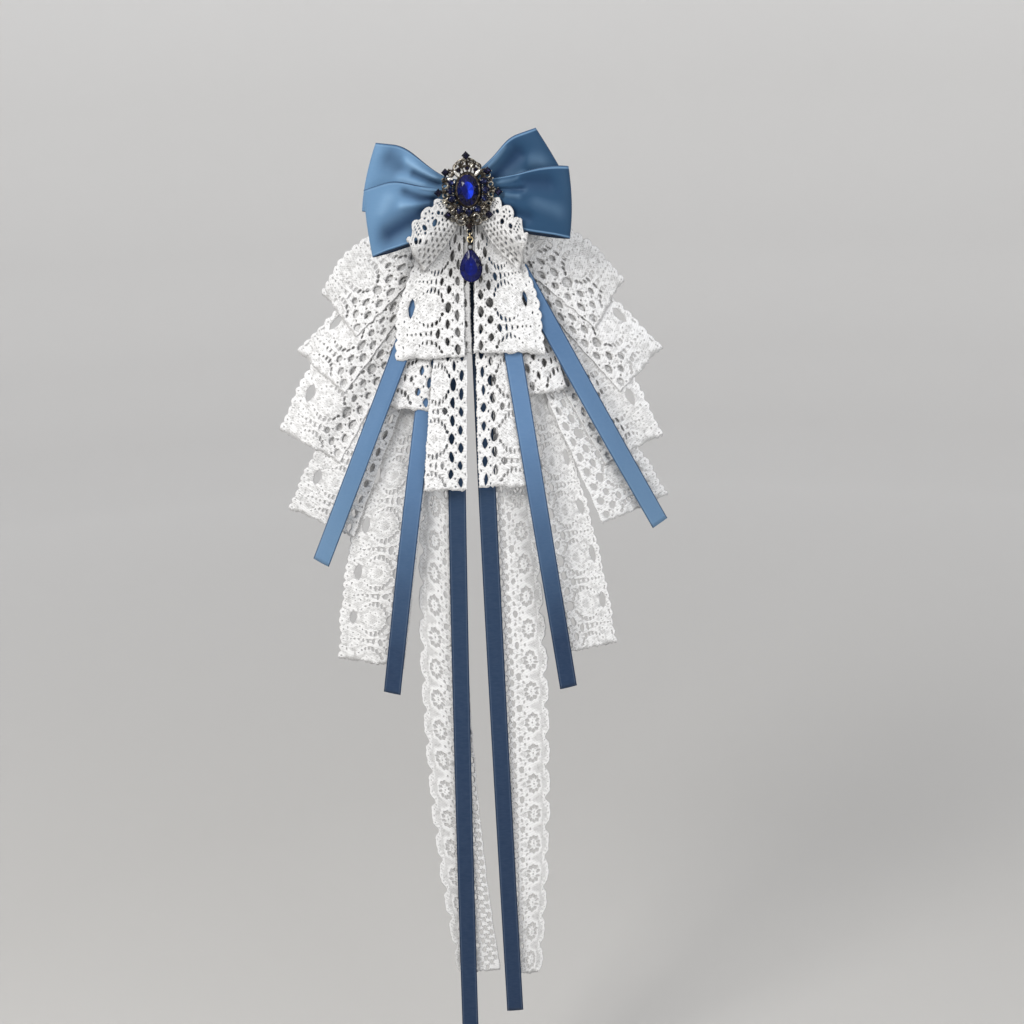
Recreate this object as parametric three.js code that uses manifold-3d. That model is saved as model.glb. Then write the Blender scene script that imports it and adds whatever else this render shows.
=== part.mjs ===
// Pin-on lace jabot: gathered lace tiers, panels and tails, satin ribbons, a double satin bow,
// and a pierced brooch with a pear drop. Millimetres, +Z up, +X to the right as seen from the front,
// and the front faces -Y. The origin is the middle of the back pin's rear face.

import * as THREE from 'three';
import { mergeVertices } from 'three/addons/utils/BufferGeometryUtils.js';
import Module from 'manifold-3d';

const wasm = await Module();
wasm.setup();

// Driving dimensions, in millimetres and degrees

const LACE_WALL = 1.1;
const RIBBON_WALL = 1.0;
const RIBBON_WIDTH = 12;
const LAYER_PITCH = 1.8;
const BACK_CLEARANCE = 3.4;

// The bar pin, with a plain post through the roots of the lace to the bow
const PIN = { length: 34, height: 7, depth: 3, postWidth: 6, postFrontY: -26.3 };

const CHEST = { slope: 28, slopeHeight: 230, roundness: 500 };
const KNOT_Z = -8;
const PLEATS = { depth: 2.1, angle: 21, startRadius: 55, fullRadius: 165, flatAngle: 7, fullAngle: 26 };

const SCALLOP_DEPTH = 1.1;
const CUT_REACH = 120;
const EYELET = { width: 3.2, height: 6.2 };
const SLOT = { width: 3.6, height: 10.5 };
const FLOWER = { width: 7.2, height: 8.4 };

const BOW = {
  ribbonWidth: 40, pinch: 0.36, pinchLength: 40, flare: 1.05, steps: 4,
  slantFrom: 20, slantLength: 30, liftFrom: 17, liftLength: 18,
};
const KNOTS = {
  bow_back: { width: 12, height: 14, backY: -26.6, frontY: -30.4 },
  bow_front: { width: 12, height: 14, backY: -30.7, frontY: -33.3 },
};
const BROOCH = {
  backY: -36.9, plate: 1.5, rimX: 17, rimZ: 20, rimWidth: 1.5, innerX: 13.2, innerZ: 16.2, innerWidth: 1.1,
  meanRadius: 18.5, spokes: 12, spokeLength: 11, spokeMiddle: 12.4, spokeWidth: 1.1, spokeDepth: 1.3,
};
const BEZEL = { x: 8.4, z: 11.4, width: 2.4, depth: 2.9 };
const BACKING = { width: 11, height: 16, depth: 3.35, bite: 0.3 };
const ARM = { length: 6, depth: 1.2, width: 1.3 };
const SEAT_DEPTH = 1.6;
const SCALLOPS = { count: 5, step: 17, x: 17.6, z: 20.6, radius: 2.4, wire: 0.5 };
const CROWN = { rise: 4.2, radius: 2.6, wire: 0.55, seat: 1.5 };
const POINT = { seat: 2.1 };
const STONE_GAP = 0.12;
const STONE_CUT = { table: 0.62, girdle: 0.15 };

// The drop hangs in the plane of the frame: eyelet, upper link, lower link and bail are alike
const DROP_Y = BROOCH.backY - BROOCH.plate / 2;
const LINK = { eyeletZ: -26.3, radius: 1.75, wire: 0.42, play: 0.2 };
const CRYSTAL = {
  below: 2.25, toPear: 1.9, seat: 1.7, seatDepth: 3.2,
  cut: { width: 2.6, height: 2.6, crown: 0.6, pavilion: 0.5, sides: 8 },
};
const PEAR = {
  width: 13.6, height: 20.2, crown: 2.2, pavilion: 0.85, sides: 16,
  gap: 0.25, rim: 0.7, rimDepth: 3.4, back: 0.5,
};
const TEARDROP_WIDEST = 0.77;
const settingBackY = DROP_Y + PEAR.rimDepth / 2;

// Looks of each material

const LOOKS = {
  lace: { color: 0xeeeeea, roughness: 0.95, metalness: 0 },
  frill: { color: 0xe6e5e0, roughness: 0.95, metalness: 0 },
  satin: { color: 0x55799e, roughness: 0.45, metalness: 0 },
  ribbon: { color: 0x4d7099, roughness: 0.5, metalness: 0 },
  navy: { color: 0x324c75, roughness: 0.5, metalness: 0 },
  bronze: { color: 0x8a7857, roughness: 0.4, metalness: 1 },
  gold: { color: 0xc2a35a, roughness: 0.3, metalness: 1 },
  sapphire: { color: 0x14228c, roughness: 0.08, metalness: 0 },
  dark: { color: 0x181b3c, roughness: 0.12, metalness: 0 },
  garnet: { color: 0x3c1418, roughness: 0.15, metalness: 0 },
  crystal: { color: 0xe8ecf0, roughness: 0.05, metalness: 0 },
  steel: { color: 0x9a9a98, roughness: 0.35, metalness: 1 },
};

// Lace lengths: the outer edge curves from root over bend to tip, and tip to fold is the cut or folded
// end. The inner edge curves from inner over innerBend to fold. level is the place in the stack, and
// across and along are the panels that the sheet is divided into, and a straight inner edge has no bend.
const LACES = [
  {
    name: 'tail_left', kind: 'tail', level: 0, across: 2, along: 18,
    rootX: -14, rootZ: -30, bendX: -71, bendZ: -299, tipX: -31, tipZ: -571,
    foldX: 1, foldZ: -567, innerX: -3, innerZ: -34, innerBendX: -26, innerBendZ: -330,
  },
  {
    name: 'tail_right', kind: 'tail', level: 0, across: 2, along: 18,
    rootX: 12, rootZ: -30, bendX: 62, bendZ: -299, tipX: 31, tipZ: -572,
    foldX: 5, foldZ: -573, innerX: 3, innerZ: -34, innerBendX: 8, innerBendZ: -300,
  },
  {
    name: 'lower_lace_left', kind: 'tier', level: 1, across: 4, along: 10,
    rootX: -14, rootZ: -40, bendX: -98, bendZ: -195, tipX: -107, tipZ: -325,
    foldX: -59, foldZ: -329, innerX: -12, innerZ: -50,
  },
  {
    name: 'lower_lace_right', kind: 'tier', level: 1, across: 4, along: 10,
    rootX: 12, rootZ: -40, bendX: 76, bendZ: -180, tipX: 93, tipZ: -319,
    foldX: 55, foldZ: -322, innerX: 8, innerZ: -50,
  },
  {
    name: 'tier_4_left', kind: 'tier', level: 3, across: 4, along: 9,
    rootX: -10, rootZ: -26, bendX: -102, bendZ: -140, tipX: -137, tipZ: -217,
    foldX: -89, foldZ: -233, innerX: -5, innerZ: -36,
  },
  {
    name: 'tier_4_right', kind: 'tier', level: 3, across: 4, along: 9,
    rootX: 10, rootZ: -26, bendX: 96, bendZ: -146, tipX: 132, tipZ: -216,
    foldX: 83, foldZ: -229, innerX: 5, innerZ: -36,
  },
  {
    name: 'tier_3_left', kind: 'tier', level: 4, across: 4, along: 9,
    rootX: -10, rootZ: -18, bendX: -107, bendZ: -79, tipX: -139, tipZ: -161,
    foldX: -96, foldZ: -182, innerX: -5, innerZ: -34,
  },
  {
    name: 'tier_3_right', kind: 'tier', level: 4, across: 4, along: 9,
    rootX: 10, rootZ: -18, bendX: 97, bendZ: -86, tipX: 128, tipZ: -173,
    foldX: 86, foldZ: -188, innerX: 5, innerZ: -34,
  },
  {
    name: 'tier_2_left', kind: 'tier', level: 5, across: 4, along: 8,
    rootX: -10, rootZ: -10, bendX: -74, bendZ: -58, tipX: -124, tipZ: -106,
    foldX: -90, foldZ: -134, innerX: -5, innerZ: -30,
  },
  {
    name: 'tier_2_right', kind: 'tier', level: 5, across: 4, along: 8,
    rootX: 10, rootZ: -10, bendX: 78, bendZ: -52, tipX: 130, tipZ: -113,
    foldX: 98, foldZ: -140, innerX: 5, innerZ: -30,
  },
  {
    name: 'tier_1_left', kind: 'tier', level: 6, across: 4, along: 8,
    rootX: -10, rootZ: -3, bendX: -90, bendZ: -26, tipX: -103, tipZ: -67,
    foldX: -80, foldZ: -96, innerX: -5, innerZ: -28,
  },
  {
    name: 'tier_1_right', kind: 'tier', level: 6, across: 4, along: 8,
    rootX: 10, rootZ: -3, bendX: 78, bendZ: -22, tipX: 103, tipZ: -65,
    foldX: 82, foldZ: -96, innerX: 5, innerZ: -28,
  },
  {
    name: 'short_lace_left', kind: 'plain', level: 8, across: 2, along: 6,
    rootX: -12, rootZ: -24, bendX: -44, bendZ: -76, tipX: -62, tipZ: -141,
    foldX: -30, foldZ: -145, innerX: -8, innerZ: -30,
  },
  {
    name: 'short_lace_right', kind: 'plain', level: 7, across: 2, along: 6,
    rootX: 12, rootZ: -24, bendX: 46, bendZ: -70, tipX: 61, tipZ: -133,
    foldX: 34, foldZ: -137, innerX: 8, innerZ: -30,
  },
  {
    name: 'middle_panel_left', kind: 'panel', level: 9, across: 2, along: 8,
    rootX: -12, rootZ: -16, bendX: -30, bendZ: -108, tipX: -38, tipZ: -197,
    foldX: -8, foldZ: -197, innerX: -1.5, innerZ: -20,
  },
  {
    name: 'middle_panel_right', kind: 'panel', level: 8, across: 2, along: 8,
    rootX: 12, rootZ: -16, bendX: 38, bendZ: -100, tipX: 36, tipZ: -197,
    foldX: -1, foldZ: -195, innerX: 1.5, innerZ: -20,
  },
  {
    name: 'top_panel_left', kind: 'panel', level: 11, across: 3, along: 7,
    rootX: -7, rootZ: -6, bendX: -58, bendZ: -59, tipX: -53, tipZ: -110,
    foldX: -6, foldZ: -108, innerX: -4, innerZ: -10,
  },
  {
    name: 'top_panel_right', kind: 'panel', level: 11, across: 3, along: 7,
    rootX: 7, rootZ: -6, bendX: 49, bendZ: -50, tipX: 47, tipZ: -109,
    foldX: -1, foldZ: -106, innerX: 4, innerZ: -10,
  },
  {
    name: 'frill_back_right', kind: 'frill', level: 12, across: 2, along: 4,
    rootX: 20, rootZ: -22, bendX: 44, bendZ: -26, tipX: 49, tipZ: -35,
    foldX: 36, foldZ: -50, innerX: 18, innerZ: -27,
  },
];

// Small frills that hang from behind the brooch over the front bow, and fall back on the panels below it
const FRILLS = [
  {
    name: 'frill_left', kind: 'frill', level: 12, across: 5, along: 10,
    rootX: -10, rootZ: -2, bendX: -33, bendZ: -5, tipX: -41, tipZ: -29,
    foldX: -33, foldZ: -53, innerX: -6, innerZ: -15, innerBendX: -6, innerBendZ: -30,
  },
  {
    name: 'frill_right', kind: 'frill', level: 13, across: 5, along: 10,
    rootX: 10, rootZ: -2, bendX: 30, bendZ: -6, tipX: 38, tipZ: -28,
    foldX: 33, foldZ: -55, innerX: 6, innerZ: -15, innerBendX: 7, innerBendZ: -32,
  },
];
const FRILL_OVER = { gap: 1.5, edgeAtKnot: -12, edgeSlope: 0.66, fall: 16 };

// Holes of each kind of lace: columns at a share of the width, from one share of the length to another
const HOLES = {
  tail: [{ cut: FLOWER, at: 0.7, from: 0.36, to: 0.97, count: 10 }],
  tier: [{ cut: SLOT, at: 0.8, from: 0.72, to: 0.88, count: 1 }],
  plain: [],
  panel: [
    { cut: EYELET, at: 0.14, from: 0.28, to: 0.94, count: 8 },
    { cut: EYELET, at: 0.32, from: 0.33, to: 0.89, count: 6 },
    { cut: SLOT, at: 0.84, from: 0.7, to: 0.7, count: 1 },
  ],
  frill: [],
};

// Satin ribbons: the middle of each end and a bend that the middle line leans to. Each lies at its level
// and settles to endLevel past the lace that it crosses.
const RIBBONS = [
  {
    name: 'ribbon_inner_left', look: 'navy', level: 2, endLevel: 2,
    topX: -9.5, topZ: -14, bendX: -19, bendZ: -250, endX: -23.5, endZ: -617,
  },
  {
    name: 'ribbon_inner_right', look: 'navy', level: 2, endLevel: 2,
    topX: 3.5, topZ: -14, bendX: 4, bendZ: -250, endX: 10.5, endZ: -599,
  },
  {
    name: 'ribbon_middle_left', look: 'ribbon', level: 7, endLevel: 3.4,
    topX: -12, topZ: -12, bendX: -38, bendZ: -150, endX: -68, endZ: -346,
  },
  {
    name: 'ribbon_middle_right', look: 'ribbon', level: 9, endLevel: 3.4,
    topX: 12, topZ: -12, bendX: 28, bendZ: -120, endX: 56.5, endZ: -345,
  },
  {
    name: 'ribbon_outer_left', look: 'ribbon', level: 10, endLevel: 6.5,
    topX: -9, topZ: -10, bendX: -50, bendZ: -107, endX: -113, endZ: -251,
  },
  {
    name: 'ribbon_outer_right', look: 'ribbon', level: 10, endLevel: 6.5,
    topX: 9, topZ: -10, bendX: 50, bendZ: -90, endX: 124, endZ: -233,
  },
];
const RIBBON_STEPS = 12;
const SETTLE_FROM = 0.68;

// One loop of the bow in plan: half of its depth along its length, outside and inside of the ribbon
const LOOP_OUTSIDE = [
  { along: 3, half: 1.2 }, { along: 15, half: 1.4 }, { along: 27, half: 2.7 }, { along: 40, half: 4.1 },
  { along: 52, half: 4.2 }, { along: 60, half: 3.3 }, { along: 64, half: 1.5 },
];
const LOOP_INSIDE = [
  { along: 18, half: 0.5 }, { along: 28, half: 1.75 }, { along: 40, half: 3.1 }, { along: 52, half: 3.2 },
  { along: 59.4, half: 2.2 }, { along: 62.8, half: 0.6 },
];
const LOOP_LENGTH = 65;

// The four loops: rise in degrees from level, length, slant of the fold, depth at the knot and outside
const LOOPS = [
  { bow: 'bow_back', side: -1, rise: 8, length: 64.5, slant: 0.05, knotY: -27.9, outY: -29.4 },
  { bow: 'bow_back', side: 1, rise: 17, length: 58.5, slant: -0.22, knotY: -27.9, outY: -29.4 },
  { bow: 'bow_front', side: -1, rise: -15.4, length: 67.5, slant: -0.2, knotY: -32, outY: -39.6 },
  { bow: 'bow_front', side: 1, rise: -9.2, length: 65.5, slant: -0.16, knotY: -32, outY: -39.6 },
];

// Places of the small stones on the brooch, measured from the middle of the centre stone
const POINT_STONES = [
  { x: -0.5, z: 21.6 }, { x: -14, z: 11.4 }, { x: 13, z: 11.6 }, { x: -19, z: -1.2 }, { x: 19.4, z: -1.6 },
  { x: -13.6, z: -15.6 }, { x: 13, z: -15.8 },
];
const BOTTOM_STONE = { x: 0, z: -22.6 };
const CROWN_STONES = [{ x: -5.4, z: 12.6 }, { x: 0, z: 13.8 }, { x: 5.4, z: 12.6 }];
const RING_ANGLES = [158, 180, 202, 240, 270, 300, 338, 0, 22];
const RING_PATH = { x: 11.2, z: 14 };
const CENTRE_CUT = { width: 12.6, height: 18.8, crown: 3.2, pavilion: 2.2, sides: 12, sunk: 1.8 };
const RING_CUT = { width: 3.2, height: 4.4, crown: 1, pavilion: 0.9, sides: 8 };
const POINT_CUT = { width: 3.6, height: 3.6, crown: 1.1, pavilion: 0.6, sides: 4 };
const CROWN_CUT = { width: 2.1, height: 2.1, crown: 0.7, pavilion: 0.5, sides: 8 };

// Small helpers

const rad = (degrees) => (degrees * Math.PI) / 180;

const lerp = (a, b, t) => a + (b - a) * t;

function smooth(t) {
  const c = Math.min(1, Math.max(0, t));
  return c * c * (3 - 2 * c);
}

function faceOutward(geometry) {
  const position = geometry.attributes.position;
  const index = geometry.index.array;
  const [a, b, c] = [new THREE.Vector3(), new THREE.Vector3(), new THREE.Vector3()];
  let volume = 0;
  for (let i = 0; i < index.length; i += 3) {
    a.fromBufferAttribute(position, index[i]);
    b.fromBufferAttribute(position, index[i + 1]);
    c.fromBufferAttribute(position, index[i + 2]);
    volume += a.dot(b.cross(c));
  }
  if (volume < 0) {
    for (let i = 0; i < index.length; i += 3) [index[i], index[i + 2]] = [index[i + 2], index[i]];
  }
  return geometry;
}

function weld(geometry) {
  const bare = geometry.clone();
  bare.deleteAttribute('normal');
  bare.deleteAttribute('uv');
  const merged = mergeVertices(bare, 1e-4);
  const kept = [];
  for (let i = 0; i < merged.index.count; i += 3) {
    const corners = [0, 1, 2].map((k) => merged.index.getX(i + k));
    if (new Set(corners).size === 3) kept.push(...corners);
  }
  merged.setIndex(kept);
  return faceOutward(merged);
}

function solid(geometry) {
  const welded = weld(geometry);
  const vertProperties = new Float32Array(welded.attributes.position.array);
  const triVerts = new Uint32Array(welded.index.array);
  return new wasm.Manifold(new wasm.Mesh({ numProp: 3, vertProperties, triVerts }));
}

function joined(geometries) {
  return geometries.map(solid).reduce((all, next) => all.add(next));
}

function geometryOf(manifold) {
  const mesh = manifold.getMesh();
  const geometry = new THREE.BufferGeometry();
  geometry.setAttribute('position', new THREE.BufferAttribute(new Float32Array(mesh.vertProperties), 3));
  geometry.setIndex(new THREE.BufferAttribute(new Uint32Array(mesh.triVerts), 1));
  return geometry;
}

function reshape(geometry, move) {
  const position = geometry.attributes.position;
  const point = new THREE.Vector3();
  for (let i = 0; i < position.count; i += 1) {
    point.fromBufferAttribute(position, i);
    move(point);
    position.setXYZ(i, point.x, point.y, point.z);
  }
  return geometry;
}

// Where the cloth lies: the chest, with pleats that radiate from the knot, and a place in the stack

function chestY(x, z) {
  return -CHEST.slope * smooth(-z / CHEST.slopeHeight) + (x * x) / CHEST.roundness;
}

function pleatDepth(x, z) {
  const radius = Math.hypot(x, z - KNOT_Z);
  const angle = Math.abs((Math.atan2(x, KNOT_Z - z) * 180) / Math.PI);
  const grown = smooth((radius - PLEATS.startRadius) / (PLEATS.fullRadius - PLEATS.startRadius));
  const share = smooth((angle - PLEATS.flatAngle) / (PLEATS.fullAngle - PLEATS.flatAngle));
  return PLEATS.depth * grown * share * Math.cos(rad((360 * angle) / PLEATS.angle));
}

function clothY(x, z, level) {
  return chestY(x, z) - BACK_CLEARANCE - level * LAYER_PITCH - pleatDepth(x, z);
}

// Lace: a thin sheet between its inner and outer edge, with its holes cut through

function laceFrame(row) {
  const outer = new THREE.QuadraticBezierCurve(
    new THREE.Vector2(row.rootX, row.rootZ),
    new THREE.Vector2(row.bendX, row.bendZ),
    new THREE.Vector2(row.tipX, row.tipZ),
  );
  const inner = new THREE.QuadraticBezierCurve(
    new THREE.Vector2(row.innerX, row.innerZ),
    new THREE.Vector2(
      row.innerBendX ?? (row.innerX + row.foldX) / 2,
      row.innerBendZ ?? (row.innerZ + row.foldZ) / 2,
    ),
    new THREE.Vector2(row.foldX, row.foldZ),
  );
  return (across, along) => inner.getPoint(along).lerp(outer.getPoint(along), across);
}

// A frill lies on the front bow, and under the bow's lower edge it falls back on the stack

function loopMiddleY(row, along) {
  return lerp(row.knotY, row.outY, smooth((along - BOW.liftFrom) / BOW.liftLength));
}

function loopHalf(along) {
  const next = LOOP_OUTSIDE.findIndex((row) => row.along > along);
  if (next < 1) return LOOP_OUTSIDE.at(next === 0 ? 0 : -1).half;
  const [low, high] = [LOOP_OUTSIDE[next - 1], LOOP_OUTSIDE[next]];
  return lerp(low.half, high.half, (along - low.along) / (high.along - low.along));
}

function bowFrontY(x, z) {
  const row = LOOPS.find((loop) => loop.bow === 'bow_front' && loop.side === Math.sign(x));
  const rise = rad(row.rise);
  const along = ((Math.abs(x) * Math.cos(rise) + z * Math.sin(rise)) * LOOP_LENGTH) / row.length;
  return loopMiddleY(row, along) - loopHalf(along);
}

function frillY(x, z, level) {
  const edge = FRILL_OVER.edgeAtKnot - FRILL_OVER.edgeSlope * Math.abs(x);
  const over = smooth((z - edge + FRILL_OVER.fall) / FRILL_OVER.fall);
  return lerp(clothY(x, z, level), bowFrontY(x, z) - FRILL_OVER.gap, over);
}

function holePrism(cut, centre, lean) {
  const [w, h] = [cut.width / 2, cut.height / 2];
  const outline = new THREE.Shape([
    new THREE.Vector2(0, h), new THREE.Vector2(-w, h / 3), new THREE.Vector2(-w, -h / 3),
    new THREE.Vector2(0, -h), new THREE.Vector2(w, -h / 3), new THREE.Vector2(w, h / 3),
  ]);
  const prism = new THREE.ExtrudeGeometry(outline, { depth: CUT_REACH, bevelEnabled: false });
  prism.translate(0, 0, -CUT_REACH / 2);
  prism.rotateZ(lean);
  prism.rotateX(Math.PI / 2);
  prism.translate(centre.x, 0, centre.y);
  return prism;
}

function lace(row, restY = clothY) {
  const frame = laceFrame(row);
  const sheet = new THREE.BoxGeometry(1, 1, 1, row.across, row.along, 1);
  reshape(sheet, (point) => {
    const across = point.x + 0.5;
    const along = 0.5 - point.y;
    const place = frame(across, along);
    const step = Math.round(along * row.along);
    if (across > 0.999 && step % 2 === 1) {
      place.lerp(frame(0, along), SCALLOP_DEPTH / place.distanceTo(frame(0, along)));
    }
    const y = restY(place.x, place.y, row.level) - (point.z + 0.5) * LACE_WALL;
    point.set(place.x, y, place.y);
  });
  let cloth = solid(sheet);
  for (const column of HOLES[row.kind]) {
    for (let i = 0; i < column.count; i += 1) {
      const along = lerp(column.from, column.to, column.count > 1 ? i / (column.count - 1) : 0.5);
      const centre = frame(column.at, along);
      const ahead = frame(column.at, along + 0.01).sub(centre);
      const lean = Math.atan2(ahead.x, -ahead.y);
      cloth = cloth.subtract(solid(holePrism(column.cut, centre, -lean)));
    }
  }
  return geometryOf(cloth);
}

// Ribbons: straight-cut strips of satin that lie on the stack

function ribbon(row) {
  const line = new THREE.QuadraticBezierCurve(
    new THREE.Vector2(row.topX, row.topZ),
    new THREE.Vector2(row.bendX, row.bendZ),
    new THREE.Vector2(row.endX, row.endZ),
  );
  const strip = new THREE.BoxGeometry(1, 1, 1, 1, RIBBON_STEPS, 1);
  return reshape(strip, (point) => {
    const along = 0.5 - point.y;
    const centre = line.getPoint(along);
    const ahead = line.getTangent(along);
    const place = centre.add(new THREE.Vector2(-ahead.y, ahead.x).multiplyScalar(point.x * RIBBON_WIDTH));
    const level = lerp(row.level, row.endLevel, smooth((along - SETTLE_FROM) / (1 - SETTLE_FROM)));
    const y = clothY(place.x, place.y, level) - (point.z + 0.5) * RIBBON_WALL;
    point.set(place.x, y, place.y);
  });
}

// Bow: hollow loops of wide ribbon, pinched together at the knot

function loopOutline(rows, end) {
  const front = rows.map((row) => new THREE.Vector2(row.along, row.half));
  const back = rows.map((row) => new THREE.Vector2(row.along, -row.half)).reverse();
  return [...front, new THREE.Vector2(end, 0), ...back].reverse();
}

function bowLoop(row) {
  const outline = new THREE.Shape(loopOutline(LOOP_OUTSIDE, LOOP_LENGTH));
  outline.holes.push(new THREE.Path(loopOutline(LOOP_INSIDE, LOOP_LENGTH - 1.2)));
  const extent = { depth: BOW.ribbonWidth, steps: BOW.steps, bevelEnabled: false };
  const loop = new THREE.ExtrudeGeometry(outline, extent);
  loop.translate(0, 0, -BOW.ribbonWidth / 2);
  const rise = rad(row.rise);
  return reshape(loop, (point) => {
    const gathered = lerp(BOW.pinch, 1, smooth(point.x / BOW.pinchLength));
    const up = point.z * gathered * lerp(1, BOW.flare, point.x / LOOP_LENGTH);
    const slanted = smooth((point.x - BOW.slantFrom) / BOW.slantLength);
    const out = (point.x * row.length) / LOOP_LENGTH + up * row.slant * slanted;
    const y = loopMiddleY(row, point.x) + point.y;
    const x = row.side * (out * Math.cos(rise) - up * Math.sin(rise));
    const z = out * Math.sin(rise) + up * Math.cos(rise);
    point.set(x, y, z);
  });
}

function bow(name) {
  const rows = LOOPS.filter((row) => row.bow === name);
  const knot = KNOTS[name];
  const middle = new THREE.BoxGeometry(knot.width, knot.backY - knot.frontY, knot.height);
  middle.translate(0, (knot.backY + knot.frontY) / 2, 0);
  return geometryOf(joined([...rows.map(bowLoop), middle]));
}

// Brooch: flat outlines stand in the plane of x and z and are extruded towards the front

function extrudeFront(shape, depth, backY) {
  const plate = new THREE.ExtrudeGeometry(shape, { depth, bevelEnabled: false });
  plate.rotateX(Math.PI / 2);
  plate.translate(0, backY, 0);
  return plate;
}

function outlinePoints(outline, sides, grow = 0) {
  const points = [];
  for (let i = 0; i < sides; i += 1) {
    const point = outline((2 * Math.PI * i) / sides);
    points.push(point.multiplyScalar(1 + grow / point.length()));
  }
  return points;
}

function ellipse(radiusX, radiusZ) {
  return (angle) => new THREE.Vector2(radiusX * Math.cos(angle), radiusZ * Math.sin(angle));
}

function teardrop(width, height) {
  return (angle) => {
    const fromTip = angle - Math.PI / 2;
    const taper = Math.abs(Math.sin(fromTip / 2));
    const side = (-width / 2 / TEARDROP_WIDEST) * Math.sin(fromTip) * taper;
    return new THREE.Vector2(side, (height / 2) * Math.cos(fromTip));
  };
}

function ring(outline, sides, inside, outside, depth, backY) {
  const shape = new THREE.Shape(outlinePoints(outline, sides, outside));
  shape.holes.push(new THREE.Path(outlinePoints(outline, sides, inside)));
  return extrudeFront(shape, depth, backY);
}

function wireRing(x, z, radius, wire, y) {
  const loop = new THREE.TorusGeometry(radius, wire, 5, 10);
  loop.rotateX(Math.PI / 2);
  loop.translate(x, y, z);
  return loop;
}

function sideRing(z, y) {
  const loop = new THREE.TorusGeometry(LINK.radius, LINK.wire, 5, 10);
  loop.rotateY(Math.PI / 2);
  loop.translate(0, y, z);
  return loop;
}

function seat(x, z, radius, height, sides, backY) {
  const post = new THREE.CylinderGeometry(radius * 0.8, radius, height, sides);
  post.rotateX(Math.PI);
  post.translate(x, backY - height / 2, z);
  return post;
}

function arm(x, z) {
  const reach = Math.hypot(x, z);
  const bar = new THREE.BoxGeometry(ARM.length, ARM.depth, ARM.width);
  bar.translate(reach - ARM.length / 2, BROOCH.backY - ARM.depth / 2, 0);
  bar.rotateY(-Math.atan2(z, x));
  return bar;
}

function broochFrame() {
  const backY = BROOCH.backY;
  const pieces = [
    ring(ellipse(BROOCH.rimX, BROOCH.rimZ), 20, -BROOCH.rimWidth, 0, BROOCH.plate, backY),
    ring(ellipse(BROOCH.innerX, BROOCH.innerZ), 16, -BROOCH.innerWidth, 0, BROOCH.plate, backY),
    ring(ellipse(BEZEL.x, BEZEL.z), 16, -BEZEL.width, 0, BEZEL.depth, backY),
  ];
  for (let i = 0; i < BROOCH.spokes; i += 1) {
    const angle = (2 * Math.PI * (i + 0.5)) / BROOCH.spokes;
    const spoke = new THREE.BoxGeometry(BROOCH.spokeLength, BROOCH.spokeDepth, BROOCH.spokeWidth);
    spoke.translate(BROOCH.spokeMiddle, backY - BROOCH.plate / 2, 0);
    spoke.rotateY(-angle);
    spoke.scale(BROOCH.rimX / BROOCH.meanRadius, 1, BROOCH.rimZ / BROOCH.meanRadius);
    pieces.push(spoke);
  }
  for (let i = 0; i < SCALLOPS.count; i += 1) {
    const angle = rad(270 + SCALLOPS.step * (i - (SCALLOPS.count - 1) / 2));
    const place = ellipse(SCALLOPS.x, SCALLOPS.z)(angle);
    pieces.push(wireRing(place.x, place.y, SCALLOPS.radius, SCALLOPS.wire, backY - SCALLOPS.wire));
  }
  for (const place of CROWN_STONES) {
    pieces.push(wireRing(place.x, place.z + CROWN.rise, CROWN.radius, CROWN.wire, backY - CROWN.wire));
    pieces.push(seat(place.x, place.z, CROWN.seat, SEAT_DEPTH, 6, backY));
  }
  for (const place of [...POINT_STONES, BOTTOM_STONE]) {
    pieces.push(seat(place.x, place.z, POINT.seat, SEAT_DEPTH, 4, backY));
    pieces.push(arm(place.x, place.z));
  }
  pieces.push(wireRing(0, LINK.eyeletZ, LINK.radius, LINK.wire, DROP_Y));
  const backing = new THREE.BoxGeometry(BACKING.width, BACKING.depth, BACKING.height);
  backing.translate(0, backY + BACKING.depth / 2 - BACKING.bite, 0);
  pieces.push(backing);
  return geometryOf(joined(pieces));
}

// Stones: a faceted crown with a flat table over a pointed pavilion, facing the front

function stone(outline, sides, crown, pavilion) {
  const profile = [
    new THREE.Vector2(0, -pavilion),
    new THREE.Vector2(1, 0),
    new THREE.Vector2(1, STONE_CUT.girdle * crown),
    new THREE.Vector2(STONE_CUT.table, crown),
    new THREE.Vector2(0, crown),
  ];
  const gem = new THREE.LatheGeometry(profile, sides, Math.PI / 2);
  return reshape(gem, (point) => {
    const reach = Math.hypot(point.x, point.z);
    const place = outline(Math.atan2(point.z, point.x)).multiplyScalar(reach);
    point.set(place.x, -point.y, place.y);
  });
}

function addStone(name, look, cut, place) {
  const gem = stone(ellipse(cut.width / 2, cut.height / 2), cut.sides, cut.crown, cut.pavilion);
  gem.rotateY(-(place.turn ?? 0));
  gem.translate(place.x, place.seatY - STONE_GAP - cut.pavilion, place.z);
  addPiece(name, geometryOf(solid(gem)), look);
}

// The drop: a link through the frame's eyelet, a second link, and the pear stone in its setting

function dropSetting(bailZ, crystalZ, pearZ) {
  const outline = teardrop(PEAR.width, PEAR.height);
  const rim = ring(outline, PEAR.sides, PEAR.gap, PEAR.gap + PEAR.rim, PEAR.rimDepth, settingBackY);
  rim.translate(0, 0, pearZ);
  const backOutline = new THREE.Shape(outlinePoints(outline, PEAR.sides, PEAR.gap + PEAR.rim / 2));
  const back = extrudeFront(backOutline, PEAR.back, settingBackY);
  back.translate(0, 0, pearZ);
  const post = seat(0, crystalZ, CRYSTAL.seat, CRYSTAL.seatDepth, CRYSTAL.cut.sides, settingBackY);
  return geometryOf(joined([rim, back, post, sideRing(bailZ, DROP_Y)]));
}

// The object

const object = new THREE.Group();

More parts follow.
